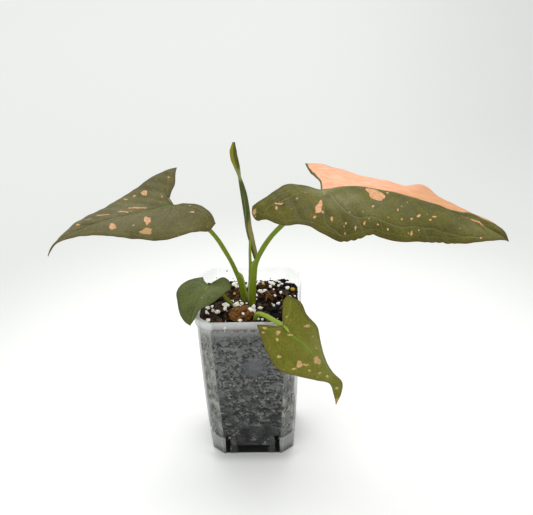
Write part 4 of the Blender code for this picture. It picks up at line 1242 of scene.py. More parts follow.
def lump(bm, place, size, seed, rough, detail=3):
    """Adds one grain at a given place to a bmesh, in millimetres."""
    made = bmesh.ops.create_icosphere(bm, subdivisions=detail, radius=size / 2)
    shift = Vector((seed * 2.3, seed * 0.7, seed * 1.9))
    squash = Vector((1.0, 0.72 + 0.25 * noise.noise(shift), GRAIN_FLATNESS))
    turn = Euler((0.5 * noise.noise(shift * 2), 0.5 * noise.noise(shift * 3), seed * 1.3)).to_matrix()
    for vert in made["verts"]:
        point = vert.co * 2 / size
        broad, fine = (noise.noise(point * scale + shift) for scale in (1.4, 3.2))
        factor = 1 + rough * (0.4 * broad + 0.24 * fine)
        vert.co = turn @ Vector([a * b for a, b in zip(vert.co * factor, squash)]) + Vector(place)
    return made["verts"]


def surface_tree(objects):
    """One search tree over the surfaces of several objects."""
    points, faces = [], []
    for obj in objects:
        start = len(points)
        points += [tuple(vert.co) for vert in obj.data.vertices]
        faces += [tuple(start + index for index in face.vertices) for face in obj.data.polygons]
    return BVHTree.FromPolygons(points, faces)


def grains_from(bm, name, tones, material, pressed=True):
    """A piece of the mix from grains placed one by one, each with its own tone."""
    obj = object_from(bm, name, material)
    set_attributes(obj, tone=tones)
    if pressed:
        press_inside(obj)
    return dress(obj, "potting_mix")


def ground_height(carriers, x, y):
    """Height of what lies uppermost at a place, or None beyond the mix."""
    hit, _, _, _ = carriers.ray_cast(Vector(in_metres([x, y, CAST_FROM])), Vector((0, 0, -1)))
    return hit and hit.z / MM


def place_seen(name, view, seen, carriers, material, rough, sink=GRAIN_SINK):
    """Grains set down where the photograph shows them, each on what carries it."""
    bm = bmesh.new()
    tones = []
    for seed, (pixel, size) in enumerate(seen):
        hit, _, _, _ = carriers.ray_cast(view[0], seen_through(view, pixel))
        if hit is None:
            continue
        spot = Vector(in_millimetres(hit)) + Vector((0, 0, size * (0.5 * GRAIN_FLATNESS - sink)))
        count = len(lump(bm, spot, size, seed, rough))
        tones += [(seed * 0.618) % 1.0] * count
    return grains_from(bm, name, tones, material)


def place_back_grains(carriers, material):
    """Perlite that has gathered along the back wall."""
    rng = np.random.default_rng(8)
    bm = bmesh.new()
    tones = []
    for seed in range(BACK_GRAINS):
        x, y = (rng.uniform(*limits) for limits in BACK_STRIP)
        size = rng.uniform(*BACK_SIZES)
        ground = ground_height(carriers, x, y)
        if ground is not None:
            count = len(lump(bm, (x, y, ground + size * 0.12), size, seed + 60, 1.0, 2))
            tones += [rng.uniform(0.3, 1.0)] * count
    grains_from(bm, "perlite_back", tones, material)


def place_in_slits(name, slits, heights, sizes, seed, material):
    """Crumbs of the mix that have slipped down behind the drainage slits, the same on all four sides."""
    rng = np.random.default_rng(seed)
    bm = bmesh.new()
    tones = []
    for quarter in range(4):
        turn = Matrix.Rotation(math.radians(90 * quarter), 3, "Z")
        for slit in slits:
            for number, height in enumerate(heights):
                x = slit + rng.uniform(-SLIT_STRAY, SLIT_STRAY)
                y = -rng.uniform(*SLIT_REACH)
                spot = turn @ Vector((x, y, height + rng.uniform(-0.7, 0.7)))
                count = len(lump(bm, spot, rng.uniform(*sizes), seed + number, 1.0, 2))
                tones += [rng.uniform(0.0, 0.7)] * count
    grains_from(bm, name, tones, material, pressed=False)


def place_wall_specks(view, material):
    """Specks of soil that cling to the inside of the back wall."""
    bm = bmesh.new()
    for seed, (pixel, size) in enumerate(WALL_SPECKS):
        aim = seen_through(view, pixel)
        wall = (wall_width(108) / 2 - WALL - 0.2 + POT_PLACE[1]) * MM
        spot = view[0] + aim * ((wall - view[0].y) / aim.y)
        lump(bm, Vector(in_millimetres(spot)), size, seed, 1.0, 2)
    grains_from(bm, "wall_specks", np.zeros(len(bm.verts)), material, pressed=False)


def make_fibres(carriers, material):
    """A few loose coir strands and slivers that lie across the mix."""
    rng = np.random.default_rng(21)
    bm = bmesh.new()
    for _ in range(FIBRES):
        middle = rng.uniform(-25, 25, 2)
        heading = rng.uniform(0, math.pi)
        length = rng.uniform(5, 13)
        radius = rng.uniform(0.12, 0.3)
        along = np.array([math.cos(heading), math.sin(heading)])
        side = np.array([-along[1], along[0]]) * rng.uniform(-0.2, 0.2) * length
        route = []
        for share in np.linspace(-0.5, 0.5, 9):
            x, y = np.clip(middle + along * share * length + side * (1 - 4 * share**2), -29, 29)
            ground = ground_height(carriers, x, y)
            if ground is not None:
                route.append([x, y, ground + radius])
        if len(route) > 4:
            heights = np.array(route)[:, 2]
            smooth = np.convolve(np.pad(heights, 2, mode="edge"), np.ones(5) / 5, mode="valid")
            route = [[x, y, max(z, h - 0.6)] for (x, y, h), z in zip(route, smooth)]
            add_tube(bm, spline(route, 22), np.full(22, radius), 7)
    grains_from(bm, "mix_fibres", np.full(len(bm.verts), 0.7), material, pressed=False)


def make_mix(view):
    """The mix's side finish, and everything that is strewn over its top."""
    node_object = bpy.data.objects["potting_mix"]
    paint(node_object, soil_material())
    # Bark crumbs, with painted shade in the hollows between them.
    bark = grain_material("bark_crumbs", tint(7, 5, 4), tint(112, 78, 50), 3.0, 0.9, 0.5, gap_shade=0.96)
    # Near-black crumbs for the slits: crumbs of the mix, darkened as painted shade inside the slits.
    slit_bark_in_shade = grain_material("slit_soil_in_shade", tint(3, 3, 2), tint(34, 26, 20), 3.0, 0.9, 0.5)
    dark_bark = bark_material()
    # Perlite, with a faint painted glow that lightens its shaded sides.
    perlite = grain_material("perlite", tint(240, 237, 220), tint(254, 253, 246), 1.6, 0.8, 0.35, painted_glow=0.2)
    prill = grain_material("fertiliser_prills", tint(180, 144, 4), tint(214, 186, 30), 2.0, 0.3, 0.05,
                           0.2, 0.4, 0.3)
    straw = grain_material("coir_strands", tint(96, 62, 38), tint(176, 136, 92), 3.0, 0.8, 0.1)

    chips = []
    coir = coir_material()
    for seed, (name, chip) in enumerate(CHIPS.items()):
        is_coir = name == "coir_chip"
        piece = make_chip(name, chip, coir if is_coir else dark_bark, seed + 1)
        press_inside(piece)
        chips.append(dress(piece, "coir" if is_coir else "bark", name))

    ground = mix_surface()
    chunky = make_grain_tree("bark crumb tree", 0.4, 0.8)
    round_tree = make_grain_tree("perlite grain tree", 0.6, 0.55)
    crumbs = strew("bark_crumbs", ground, chunky, *CRUMBS, CRUMB_SEED, bark)
    fines = strew("bark_fines", ground, chunky, *FINES, CRUMB_SEED + 1, bark)
    grains = strew("perlite_grains", ground, round_tree, *PERLITE, CRUMB_SEED + 2, perlite)
    bpy.data.objects.remove(ground)
    carriers = surface_tree([node_object, crumbs, fines, grains, *chips])
    place_seen("perlite_placed", view, PERLITE_SEEN, carriers, perlite, 1.6)
    place_seen("prills_placed", view, PRILLS_SEEN, carriers, prill, 0.1, PRILL_SINK)
    place_back_grains(carriers, perlite)
    # Dark crumbs in every slit, standing partly for the shade inside them.
    place_in_slits("slit_crumbs", (-SLIT_OFFSET, SLIT_OFFSET), range(2, 14), (1.2, 2.8), 4, slit_bark_in_shade)
    place_in_slits("slit_perlite", (-SLIT_OFFSET,), (2.4, 11.8), (1.0, 2.2), 9, perlite)
    place_wall_specks(view, bark)
    make_fibres(carriers, straw)


# Leaves


def blade_frame(blade):
    """The blade's place and its three directions: along the midrib, to its left, and up."""
    roll, droop, heading = (math.radians(angle) for angle in blade["turn"])
    level = np.array([-math.sin(heading), math.cos(heading), 0.0])
    ahead = np.array([math.cos(heading), math.sin(heading), 0.0])
    along = ahead * math.cos(droop) - np.array([0.0, 0.0, math.sin(droop)])
    raised = np.cross(along, level)
    left = level * math.cos(roll) + raised * math.sin(roll)
    return np.array(blade["place"], float), np.array([along, left, np.cross(along, left)])


def in_place(blade, points):
    """A blade's own points, in place on the plant."""
    place, axes = blade_frame(blade)
    return place + np.array(points, float) @ axes


def line_length(points):
    """The length of a line of straight pieces."""
    return np.linalg.norm(np.diff(np.array(points, float), axis=0), axis=1).sum()


def from_line(points, line):
    """Distance of each flat point from a line of straight pieces, and the side on which it lies."""
    points, line = np.asarray(points, float)[:, :2], np.asarray(line, float)[:, :2]
    best = np.full(len(points), np.inf)
    side = np.zeros(len(points))
    for a, b in zip(line, line[1:]):
        run = b - a
        t = np.clip((points - a) @ run / max(run @ run, 1e-9), 0, 1)
        off = points - (a + t[:, None] * run)
        distance = np.hypot(off[:, 0], off[:, 1])
        closer = distance < best
        best[closer] = distance[closer]
        turn = run[0] * (points[:, 1] - a[1]) - run[1] * (points[:, 0] - a[0])
        side[closer] = np.sign(turn)[closer]
    return best, side


def half_sheet(blade, half, columns):
    """A grid of points over half a blade, from the midrib side out to the margin."""
    lobe_rows = max(6, round(line_length(half["sinus"]) / BLADE_STEP))
    rows = round(line_length(blade["midrib"]) / BLADE_STEP)
    inner = np.concatenate([spline(half["sinus"], lobe_rows + 1), spline(blade["midrib"], rows + 1)[1:]])
    margin = spline(half["margin"], 1200)
    shoulder = np.array(half["margin"][half["shoulder"]], float)
    split = int(np.argmin(np.linalg.norm(margin - shoulder, axis=1)))
    lobe_edge = spline(margin[: split + 1], lobe_rows + 1)
    outer = np.concatenate([lobe_edge, spline(margin[split:], rows + 1)[1:]])
    outer[0], outer[-1] = inner[0], inner[-1]
    return inner, nibbled(inner, outer, blade.get("nicks", ()))[:, None], np.linspace(0.0, 1.0, columns + 1)


def nibbled(inner, outer, nicks):
    """The outer edge with its small bites, each a place, a depth and a width."""
    outer = outer.copy()
    for a, b, depth, width in nicks:
        distance = np.hypot(outer[:, 0] - a, outer[:, 1] - b)
        inward = inner - outer
        inward /= np.maximum(np.linalg.norm(inward, axis=1), 1e-6)[:, None]
        outer += inward * (depth * np.exp(-((distance / width) ** 2)))[:, None]
    return outer


def sheet_points(inner, outer, shares):
    """Rows of points from the midrib to the edge, arched a little between them."""
    span = np.linalg.norm(outer[:, 0] - inner, axis=1)
    points = inner[:, None] + (outer - inner[:, None]) * shares[None, :, None]
    points[:, :, 2] += BLADE_ARCH * span[:, None] * 4 * shares * (1 - shares)
    return points


def blade_mesh(name, blade):
    """Both halves of a blade as one fine sheet in the blade's own frame."""
    bm = bmesh.new()
    widest = max(abs(point[1]) for side in ("left", "right") for point in blade[side]["margin"])
    columns = round(widest / BLADE_STEP)
    for side in ("left", "right"):
        inner, outer, shares = half_sheet(blade, blade[side], columns)
        grid = [[bm.verts.new(point) for point in row] for row in sheet_points(inner, outer, shares)]
        for low, high in zip(grid, grid[1:]):
            for i in range(columns):
                corners = (low[i], high[i], high[i + 1], low[i + 1])
                bm.faces.new(corners if side == "left" else corners[::-1])
    bmesh.ops.remove_doubles(bm, verts=bm.verts, dist=0.01)
    bmesh.ops.dissolve_degenerate(bm, edges=bm.edges, dist=0.005)
    mesh = mesh_from(bm, name)
    mesh.shade_smooth()
    return mesh


def spot_field(points, spots, streaks):
    """How deep each point lies inside the nearest spot or streak, in millimetres, below 0 outside."""
    field = np.full(len(points), -9.0)
    rng = np.random.default_rng(3)
    for middle, wide, high in spots:
        across = np.array([wide, high], float).T / 2
        local = (points - np.array(middle)) @ np.linalg.inv(across).T
        angle = np.arctan2(local[:, 1], local[:, 0])
        ragged = 1.0
        for waves in (2, 3, 5):
            ragged = ragged + rng.uniform(0.05, 0.16) * np.cos(waves * angle + rng.uniform(0, 6.3))
        size = math.sqrt(abs(np.linalg.det(across)))
        field = np.maximum(field, (1 - np.hypot(local[:, 0], local[:, 1]) / ragged) * size)
    for line, width in streaks:
        field = np.maximum(field, width / 2 - from_line(points, line)[0])
    return field


def patch_field(points, patches):
    """A soft field, highest in the middle of each patch."""
    field = np.zeros(len(points))
    for x, y, along, across, strength in patches:
        away = ((points[:, 0] - x) / along) ** 2 + ((points[:, 1] - y) / across) ** 2
        field = np.maximum(field, strength * np.exp(-away))
    return field


def crease_field(points, creases):
    """Distance of each point from the nearest crease, below 0 on the line's right."""
    field = np.full(len(points), 9.0)
    for crease in creases:
        distance, side = from_line(points, spline(crease, 60))
        signed = distance * np.where(side == 0, 1, side)
        field = np.where(distance < np.abs(field), signed, field)
    return field


def inside_outline(points, outline):
    """How deep each point lies inside a closed outline, in millimetres, below 0 outside."""
    closed = np.array([*outline, outline[0]], float)
    crossings = np.zeros(len(points), int)
    for (ax, ay), (bx, by) in zip(closed, closed[1:]):
        spans = (ay > points[:, 1]) != (by > points[:, 1])
        at = ax + (points[:, 1] - ay) * (bx - ax) / (by - ay if by != ay else 1e-9)
        crossings += spans & (points[:, 0] < at)
    return from_line(points, closed)[0] * np.where(crossings % 2, 1, -1)


def blade_measures(key, blade, points):
    """What the leaf's finish needs at each point: distances from the veins, the edge and the spots."""
    flat = points[:, :2]
    costa = spline(blade["midrib"], 120)
    midrib, _ = from_line(flat, costa)
    midrib = midrib / (0.35 + 0.65 * np.clip(1 - flat[:, 0] / costa[-1, 0], 0, 1))
    ahead = np.clip(flat[:, 0], 0, None)
    centre = np.interp(flat[:, 0], costa[:, 0], costa[:, 1])
    off = flat[:, 1] - centre
    origin = flat[:, 0] - np.abs(off) * blade["lean"] + blade["bend"] * off**2
    starts = np.array(blade["laterals"], float)
    stagger = np.where(off > 0, 0.0, 0.35 * (starts[2] - starts[1]))
    laterals = np.interp(origin + stagger, starts, np.arange(len(starts)), left=-1, right=len(starts) - 0.5)
    laterals = np.where(origin + stagger < starts[0], (origin + stagger - starts[0]) / 10, laterals)
    edge = np.full(len(flat), np.inf)
    lobe = np.full(len(flat), 9.0)
    for side, sign in (("left", 1), ("right", -1)):
        for line in ("sinus", "margin"):
            edge = np.minimum(edge, from_line(flat, spline(blade[side][line], 160))[0])
        distance, turn = from_line(flat, spline(blade[side]["lobe_vein"], 40))
        on_side = off * sign > -0.01
        lobe = np.where(on_side, distance * np.where(turn == 0, 1, turn), lobe)
    pale = inside_outline(flat, PALE_PART) if key == "right" else np.full(len(flat), -9.0)
    return {
        "midrib": midrib, "laterals": laterals, "lobe_vein": lobe, "margin": edge, "ahead": ahead,
        "spots": spot_field(flat, SPOTS[key], STREAKS.get(key, ())),
        "tan_spots": spot_field(flat, TAN_SPOTS.get(key, ()), ()),
        "pale": pale,
        "painted_sheen": patch_field(flat, SHEEN_PATCHES[key]),
        "deep": patch_field(flat, SHADE_PATCHES.get(key, ())),
        "crease": crease_field(flat, CREASES.get(key, ())),
    }


def relief(key, blade, points, measures):
    """How far the blade's skin rises or falls: quilting between veins, grooves and waves at the rim."""
    size = blade["midrib"][-1][0]
    wave = bump_field(points * (1, 1, 0), size * 0.16, len(key))
    ripple = bump_field(points * (1, 1, 0), size * 0.06, len(key) + 4)
    rimward = np.exp(-measures["margin"] / (0.09 * size))
    quilt = np.abs(np.cos(np.pi * measures["laterals"]))
    quilt = 1 - quilt**3
    inner = np.clip(measures["margin"] / 5, 0, 1) * np.clip(measures["midrib"] / 4, 0, 1)
    groove = np.exp(-((measures["midrib"] / 0.9) ** 2)) * np.clip(measures["margin"] / 3, 0, 1)
    basal = np.exp(-((measures["lobe_vein"] / 0.9) ** 2)) * np.clip(measures["margin"] / 3, 0, 1)
    scale = size / 126
    return (
        scale * (0.9 * wave * rimward + 0.5 * ripple * rimward + 0.25 * ripple)
        + scale * 0.7 * quilt * inner
        - 0.3 * groove
        - 0.2 * basal
        - scale * 0.3 * np.exp(-((measures["crease"] / 1.0) ** 2))
    )


def make_leaf(key, materials):
    """A blade with its veins pressed in above and standing out below."""
    blade = BLADES[key]
    mesh = blade_mesh(f"leaf_{key}_blade", blade)
    points = points_of(mesh)
    measures = blade_measures(key, blade, points)
    points[:, 2] += relief(key, blade, points, measures) + LEAF_THICKNESS / 2
    set_points(mesh, in_metres(in_place(blade, points)))
    leaf = new_object(f"leaf_{key}_blade", mesh, *materials)
    set_attributes(leaf, **measures)
    length = blade["midrib"][-1][0]
    taper = np.clip(1 - measures["ahead"] / length, 0.1, 1)
    costa = np.exp(-((measures["midrib"] / 1.0) ** 2)) * taper
    basal = np.exp(-((measures["lobe_vein"] / 0.7) ** 2)) * 0.35
    weight = np.clip(LEAF_THICKNESS / RIB_DEPTH + costa + basal, 0, 1)
    thin = LEAF_THICKNESS * (0.55 + 0.45 * np.clip(measures["margin"] / 2, 0, 1)) / RIB_DEPTH
    weight = np.where(weight > LEAF_THICKNESS / RIB_DEPTH + 0.02, weight, thin)
    group = leaf.vertex_groups.new(name="depth")
    for index, value in enumerate(weight):
        group.add([index], float(value), "REPLACE")
    solid = leaf.modifiers.new("thickness", "SOLIDIFY")
    solid.thickness = RIB_DEPTH * MM
    solid.offset = -1.0
    solid.vertex_group = "depth"
    solid.material_offset = 1
    solid.material_offset_rim = 1
    dress(leaf, f"leaf_{key}", f"leaf_{key}")


def leaf_green(tree, place, veins, tone, look):
    """The green of a blade: mottled, with patches of painted sheen and painted shade, veins, creases with
    painted shade and highlight, rim and midrib.
    """
    green = mixed(tree, tone, look["dark"], look["light"])
    cloudy = fade(tree, speckle(tree, place, 5.0, 3.0), 0.3, 0.7, 0.55, 1.0)
    # Painted sheen patches grey the green, and painted shade patches darken it.
    for patch in ("painted_sheen", "deep"):
        green = mixed(tree, times(tree, attribute(tree, patch), cloudy), green, look[patch])
    mottle = fade(tree, speckle(tree, place, 1.2, 3.0, 0.65), 0.36, 0.64)
    mottle = mixed(tree, mottle, (0.84, 0.85, 0.8, 1), (1.15, 1.13, 1.12, 1))
    green = mixed(tree, 1.0, green, mottle, "MULTIPLY")
    green = mixed(tree, times(tree, veins["Net"], 0.16), green, look["vein"])
    green = mixed(tree, times(tree, veins["Veins"], look["vein_strength"]), green, look["vein"])
    # Painted shade along each crease, and a painted highlight on its raised side.
    crease = attribute(tree, "crease")
    crease_shade = fade(tree, size_of(tree, crease), 0.1, 0.6, look["crease_shade_strength"], 0.0)
    raised = fade(tree, size_of(tree, plus(tree, crease, 0.9)), 0.2, 0.9, 0.16, 0.0)
    green = mixed(tree, raised, green, look["painted_sheen"])
    green = mixed(tree, crease_shade, green, look["crease"])
    rim = fade(tree, attribute(tree, "margin"), 0.5, look["rim_width"], 0.5, 0.0)
    green = mixed(tree, rim, green, look["rim"])
    ahead = attribute(tree, "ahead")
    near = fade(tree, ahead, 0.0, look["costa_reach"], look["costa_strength"], look["costa_far"])
    return mixed(tree, times(tree, veins["Midrib"], near), green, look["costa"])


def flecked(tree, place, green, look):
    """The green with small pale flecks in some of the cells of a pattern."""
    grit = cells(tree, place, look["fleck_size"])
    chance = node(tree, "ShaderNodeSeparateColor", {0: grit.outputs["Color"]}).outputs[0]
    fleck = fade(tree, grit.outputs["Distance"], 0.08, 0.17, look["fleck_strength"], 0.0)
    return mixed(tree, times(tree, fleck, fade(tree, chance, 0.62, 0.8)), green, look["fleck"])


def pale_skin(tree, place, veins, look):
    """The pink of the pale half: a grain along the blade, tanned far out, rusty at the rim."""
    inputs = {"Vector": place, "Rotation": (0, 0, math.radians(look["heading"])), "Scale": (7, 1, 1)}
    fibres = node(tree, "ShaderNodeMapping", inputs, vector_type="TEXTURE").outputs[0]
    flush = fade(tree, speckle(tree, fibres, 1.7, 3.0, 0.6), 0.32, 0.68)
    blush = mixed(tree, flush, look["pale"], look["pale_light"])
    tanned = fade(tree, attribute(tree, "ahead"), 30.0, 74.0, 0.0, 0.7)
    blush = mixed(tree, tanned, blush, look["pale_tan"])
    rusty = fade(tree, attribute(tree, "margin"), 0.2, 1.6, 0.75, 0.0)
    blush = mixed(tree, rusty, blush, look["pale_rim"])
    return mixed(tree, times(tree, veins["Veins"], 0.35), blush, look["pale_light"])


def leaf_material(name, look):
    """A leaf's upper skin: its green, the pale half, pink and tan spots, and a worn edge."""
    material, tree, shader, place = new_material(name)
    veins = vein_masks(tree, place)
    tone = patches_of(tree, place, look["patch"], 0.8)
    green = flecked(tree, place, leaf_green(tree, place, veins, tone, look), look)
    pale_at = attribute(tree, "pale")
    border = fade(tree, pale_at, -0.2, 0.2, 0.45, 0.0)
    border = times(tree, fade(tree, pale_at, -2.6, -0.4), border)
    green = mixed(tree, border, green, look["border"])
    ragged = maths(tree, "MULTIPLY_ADD", speckle(tree, place, 1.1, 4.0, 0.65, 0.8), 1.6, -0.8)
    pale = fade(tree, plus(tree, pale_at, times(tree, ragged, 0.7)), -0.35, 0.35)
    colour = mixed(tree, pale, green, pale_skin(tree, place, veins, look))
    pink = mixed(tree, fade(tree, speckle(tree, place, 1.8), 0.35, 0.7), look["spot"], look["spot_light"])
    spot = fade(tree, plus(tree, attribute(tree, "spots"), ragged), -0.15, 0.15, 0.0, 0.95)
    colour = mixed(tree, spot, colour, pink)
    torn = times(tree, ragged, 1.6)
    tan = fade(tree, plus(tree, attribute(tree, "tan_spots"), torn), -0.3, 0.4, 0.0, 0.85)
    colour = mixed(tree, tan, colour, look["tan"])
    worn = fade(tree, speckle(tree, place, 3.0, 2.0), 0.4, 0.6, 0.35, 0.85)
    colour = mixed(tree, times(tree, veins["Margin"], worn), colour, look["edge"])
    fill(tree, shader.inputs, {
        "Base Color": colour, "Roughness": maths(tree, "MULTIPLY_ADD", tone, 0.12, look["roughness"]),
        "Specular IOR Level": 0.22, "Normal": bumped(tree, veins["Height"], 0.28, 0.7),
    })
    return material


def leaf_back_material(name, look):
    """A leaf's underside: paler and duller, with lighter veins."""
    material, tree, shader, place = new_material(name)
    veins = vein_masks(tree, place)
    tone = patches_of(tree, place, look["patch"], 0.3)
    green = mixed(tree, tone, look["under"], look["under_light"])
    pale = fade(tree, attribute(tree, "pale"), -0.5, 0.5)
    colour = mixed(tree, pale, green, look["under_pale"])
    spots = fade(tree, attribute(tree, "spots"), -0.3, 0.3, 0.0, 0.6)
    colour = mixed(tree, spots, colour, look["under_pale"])
    colour = mixed(tree, times(tree, veins["Veins"], 0.6), colour, look["under_vein"])
    colour = mixed(tree, times(tree, veins["Midrib"], 0.85), colour, look["under_vein"])
    fill(tree, shader.inputs, {
        "Base Color": colour, "Roughness": 0.62, "Normal": bumped(tree, veins["Height"], -0.25, 0.6),
    })
    return material


# Colours as screens give them, 0 to 255
LEAF_LOOK = {
    "patch": 13.0, "dark": (78, 73, 34), "light": (100, 95, 52), "vein": (122, 120, 76),
    "painted_sheen": (112, 104, 70), "deep": (80, 73, 22), "crease": (58, 56, 22), "crease_shade_strength": 0.45,
    "vein_strength": 0.2, "rim": (74, 64, 30), "rim_width": 3.0, "costa": (70, 130, 40),
    "costa_strength": 0.8, "costa_reach": 26.0, "costa_far": 0.08, "spot": (196, 144, 98),
    "spot_light": (216, 172, 128), "fleck": (168, 156, 84), "fleck_size": 4.6, "fleck_strength": 0.5,
    "border": (84, 104, 44), "pale": (238, 164, 126), "pale_light": (248, 188, 154),
    "pale_tan": (204, 148, 98), "pale_rim": (190, 112, 62), "tan": (190, 150, 98), "edge": (84, 58, 30),
    "roughness": 0.5, "under": (96, 104, 62), "under_light": (124, 130, 84), "under_pale": (206, 158, 134),
    "under_vein": (146, 160, 100),
}
LOOKS = {
    "left": {},
    "right": {
        "dark": (71, 67, 6), "light": (94, 90, 18), "vein": (124, 122, 62), "vein_strength": 0.42,
        "painted_sheen": (134, 132, 88), "deep": (66, 64, 0), "crease": (52, 50, 8), "rim": (78, 66, 12),
        "costa": (74, 104, 28), "costa_reach": 60.0, "costa_far": 0.0, "spot": (206, 147, 103),
        "spot_light": (226, 172, 129), "fleck": (200, 156, 108), "fleck_size": 4.0, "fleck_strength": 0.8,
    },
    "front": {
        "dark": (87, 87, 10), "light": (114, 113, 26), "rim": (106, 100, 26), "painted_sheen": (132, 131, 58),
        "deep": (82, 80, 6), "costa": (110, 156, 40), "vein": (136, 146, 62), "vein_strength": 0.42,
        "costa_reach": 60.0, "costa_far": 0.3, "spot": (194, 154, 102), "spot_light": (212, 180, 126),
        "fleck": (180, 150, 90), "fleck_size": 4.4, "fleck_strength": 0.6,
    },
    "side": {
        "dark": (76, 86, 36), "light": (98, 106, 56), "vein": (114, 128, 78), "vein_strength": 0.25,
        "painted_sheen": (106, 114, 70), "rim": (74, 84, 36), "edge": (74, 88, 40), "spot": (180, 176, 120),
        "costa": (92, 118, 56), "costa_strength": 0.25, "costa_far": 0.1, "fleck": (140, 146, 96),
        "fleck_strength": 0.3,
    },
}


# Petioles and the rolled leaf


def ring_frames(points):
    """Two directions across a line at each of its points, carried along without twisting."""
    tangents = np.gradient(points, axis=0)
    tangents /= np.linalg.norm(tangents, axis=1)[:, None]
    across = np.array([1.0, 0.0, 0.0])
    frames = []
    for tangent in tangents:
        across = across - tangent * (across @ tangent)
        across /= np.linalg.norm(across)
        frames.append((across.copy(), np.cross(tangent, across)))
    return frames


def add_tube(bm, line, radii, sides):
    """Adds a closed round tube along a line to a bmesh."""
    angles = np.linspace(0, 2 * math.pi, sides, endpoint=False)
    rings = []
    for point, radius, (across, up) in zip(line, radii, ring_frames(line)):
        ways = [across * math.cos(angle) + up * math.sin(angle) for angle in angles]
        rings.append([point + radius * way for way in ways])
    add_rings(bm, rings)


def petiole_line(key):
    """The petiole's middle line: straight down into the mix, and up to run out under the midrib."""
    line = [tuple(point) for point in PETIOLE_LINES[key]]
    foot = (*line[0][:2], PLANT_DEPTH + 0.5)
    blade = BLADES[key]
    radius = PETIOLE_RADIUS[key]
    joint = in_place(blade, [(0, 0, -0.35 - radius)])[0]
    costa = spline(blade["midrib"], 60)
    reach = int(np.argmin(np.abs(costa[:, 0] - COSTA_LENGTH)))
    tip = in_place(blade, [costa[reach] - np.array([0, 0, 0.5 + PETIOLE_TIP_RADIUS])])[0]
    return [foot, *line, tuple(joint), tuple(tip)]


def sheath_reach(sheath, z):
    """How far a sheath's wing stands out at a height."""
    if sheath is None or not sheath["from"] < z < sheath["to"]:
        return 0.0
    rise = min(1.0, (z - sheath["from"]) / (sheath["full"] - sheath["from"]))
    fall = min(1.0, (sheath["to"] - z) / SHEATH_LIP)
    return sheath["reach"] * rise * math.sqrt(fall)


def make_petiole(key, material):
    """A ridged leaf stalk, with a thin sheath wing where it clasps the younger ones."""
    points = spline(petiole_line(key), PETIOLE_ROWS)
    sheath = SHEATHS.get(key)
    angles = np.linspace(0, 2 * math.pi, PETIOLE_SIDES, endpoint=False)
    radii = (PETIOLE_FOOT_RADIUS[key], PETIOLE_RADIUS[key], PETIOLE_RADIUS[key], PETIOLE_TIP_RADIUS)
    rings, along, wings = [], [], []
    for number, (point, (across, up)) in enumerate(zip(points, ring_frames(points))):
        share = number / (PETIOLE_ROWS - 1)
        radius = np.interp(share, (0, FOOT_SHARE, TIP_SHARE, 1), radii)
        radius *= 1 + 0.03 * math.sin(point[2] * 0.35) * (share < 0.85)
        reach = sheath_reach(sheath, point[2])
        ring = []
        for angle in angles:
            out = radius * (1 + 0.018 * math.cos(9 * angle))
            wing = 0.0
            if reach:
                turned = math.cos(angle - math.radians(sheath["side"]))
                wing = max(0.0, turned) ** sheath["sharp"]
                out += reach * wing
            ring.append(point + out * (across * math.cos(angle) + up * math.sin(angle)))
            along.append(share)
            wings.append(wing)
        rings.append(ring)
    petiole = object_from(loft(rings), f"petiole_{key}_stalk", material)
    set_attributes(petiole, along=along, wing=wings)
    dress(petiole, "petiole", f"petiole_{key}")


STALK_GREENS = (tint(104, 116, 16), tint(114, 134, 26), tint(128, 146, 46), tint(176, 184, 112))
STALK_LIMES = (tint(126, 146, 34), tint(144, 166, 54), tint(148, 172, 62), tint(176, 184, 112))


def stalk_material(name, foot, middle, tip, wing):
    """A fresh stalk: darker at its foot, pale on its sheath partly as a painted highlight, with fine
    lengthwise streaks.
    """
    material, tree, shader, place = new_material(name)
    along = attribute(tree, "along")
    colour = mixed(tree, fade(tree, along, 0.08, 0.3), foot, middle)
    colour = mixed(tree, fade(tree, along, 0.55, 0.95), colour, tip)
    streaks = speckle(tree, stretched(tree, place, (1.0, 1.0, 0.12)), 0.5, 2.0)
    lighter = mixed(tree, 1.0, colour, (1.35, 1.3, 1.2, 1), "MULTIPLY")
    colour = mixed(tree, fade(tree, streaks, 0.4, 0.75, 0.0, 0.6), colour, lighter)
    # The sheath wing: its own paler edge, with a painted highlight over it.
    colour = mixed(tree, fade(tree, attribute(tree, "wing"), 0.08, 0.6, 0.0, 0.7), colour, wing)
    fill(tree, shader.inputs, {
        "Base Color": colour, "Roughness": 0.42, "Specular IOR Level": 0.25,
        "Subsurface Weight": 0.12, "Subsurface Scale": 0.0015,
        "Normal": bumped(tree, streaks, 0.12, 0.6),
    })
    return material


def make_young_petiole(material):
    """The thin petiole that carries the rolled blade."""
    bm = bmesh.new()
    line = spline(NEW_PETIOLE, 60)
    add_tube(bm, line, np.linspace(*NEW_PETIOLE_RADIUS, 60), 28)
    petiole = object_from(bm, "petiole_new_stalk", material)
    points = in_millimetres(points_of(petiole.data))
    low, high = NEW_PETIOLE[0][2], NEW_PETIOLE[-1][2]
    along = 0.3 + 0.7 * (points[:, 2] - low) / (high - low)
    set_attributes(petiole, along=along, wing=np.zeros(len(points)))
    dress(petiole, "young_petiole", "petiole_new")


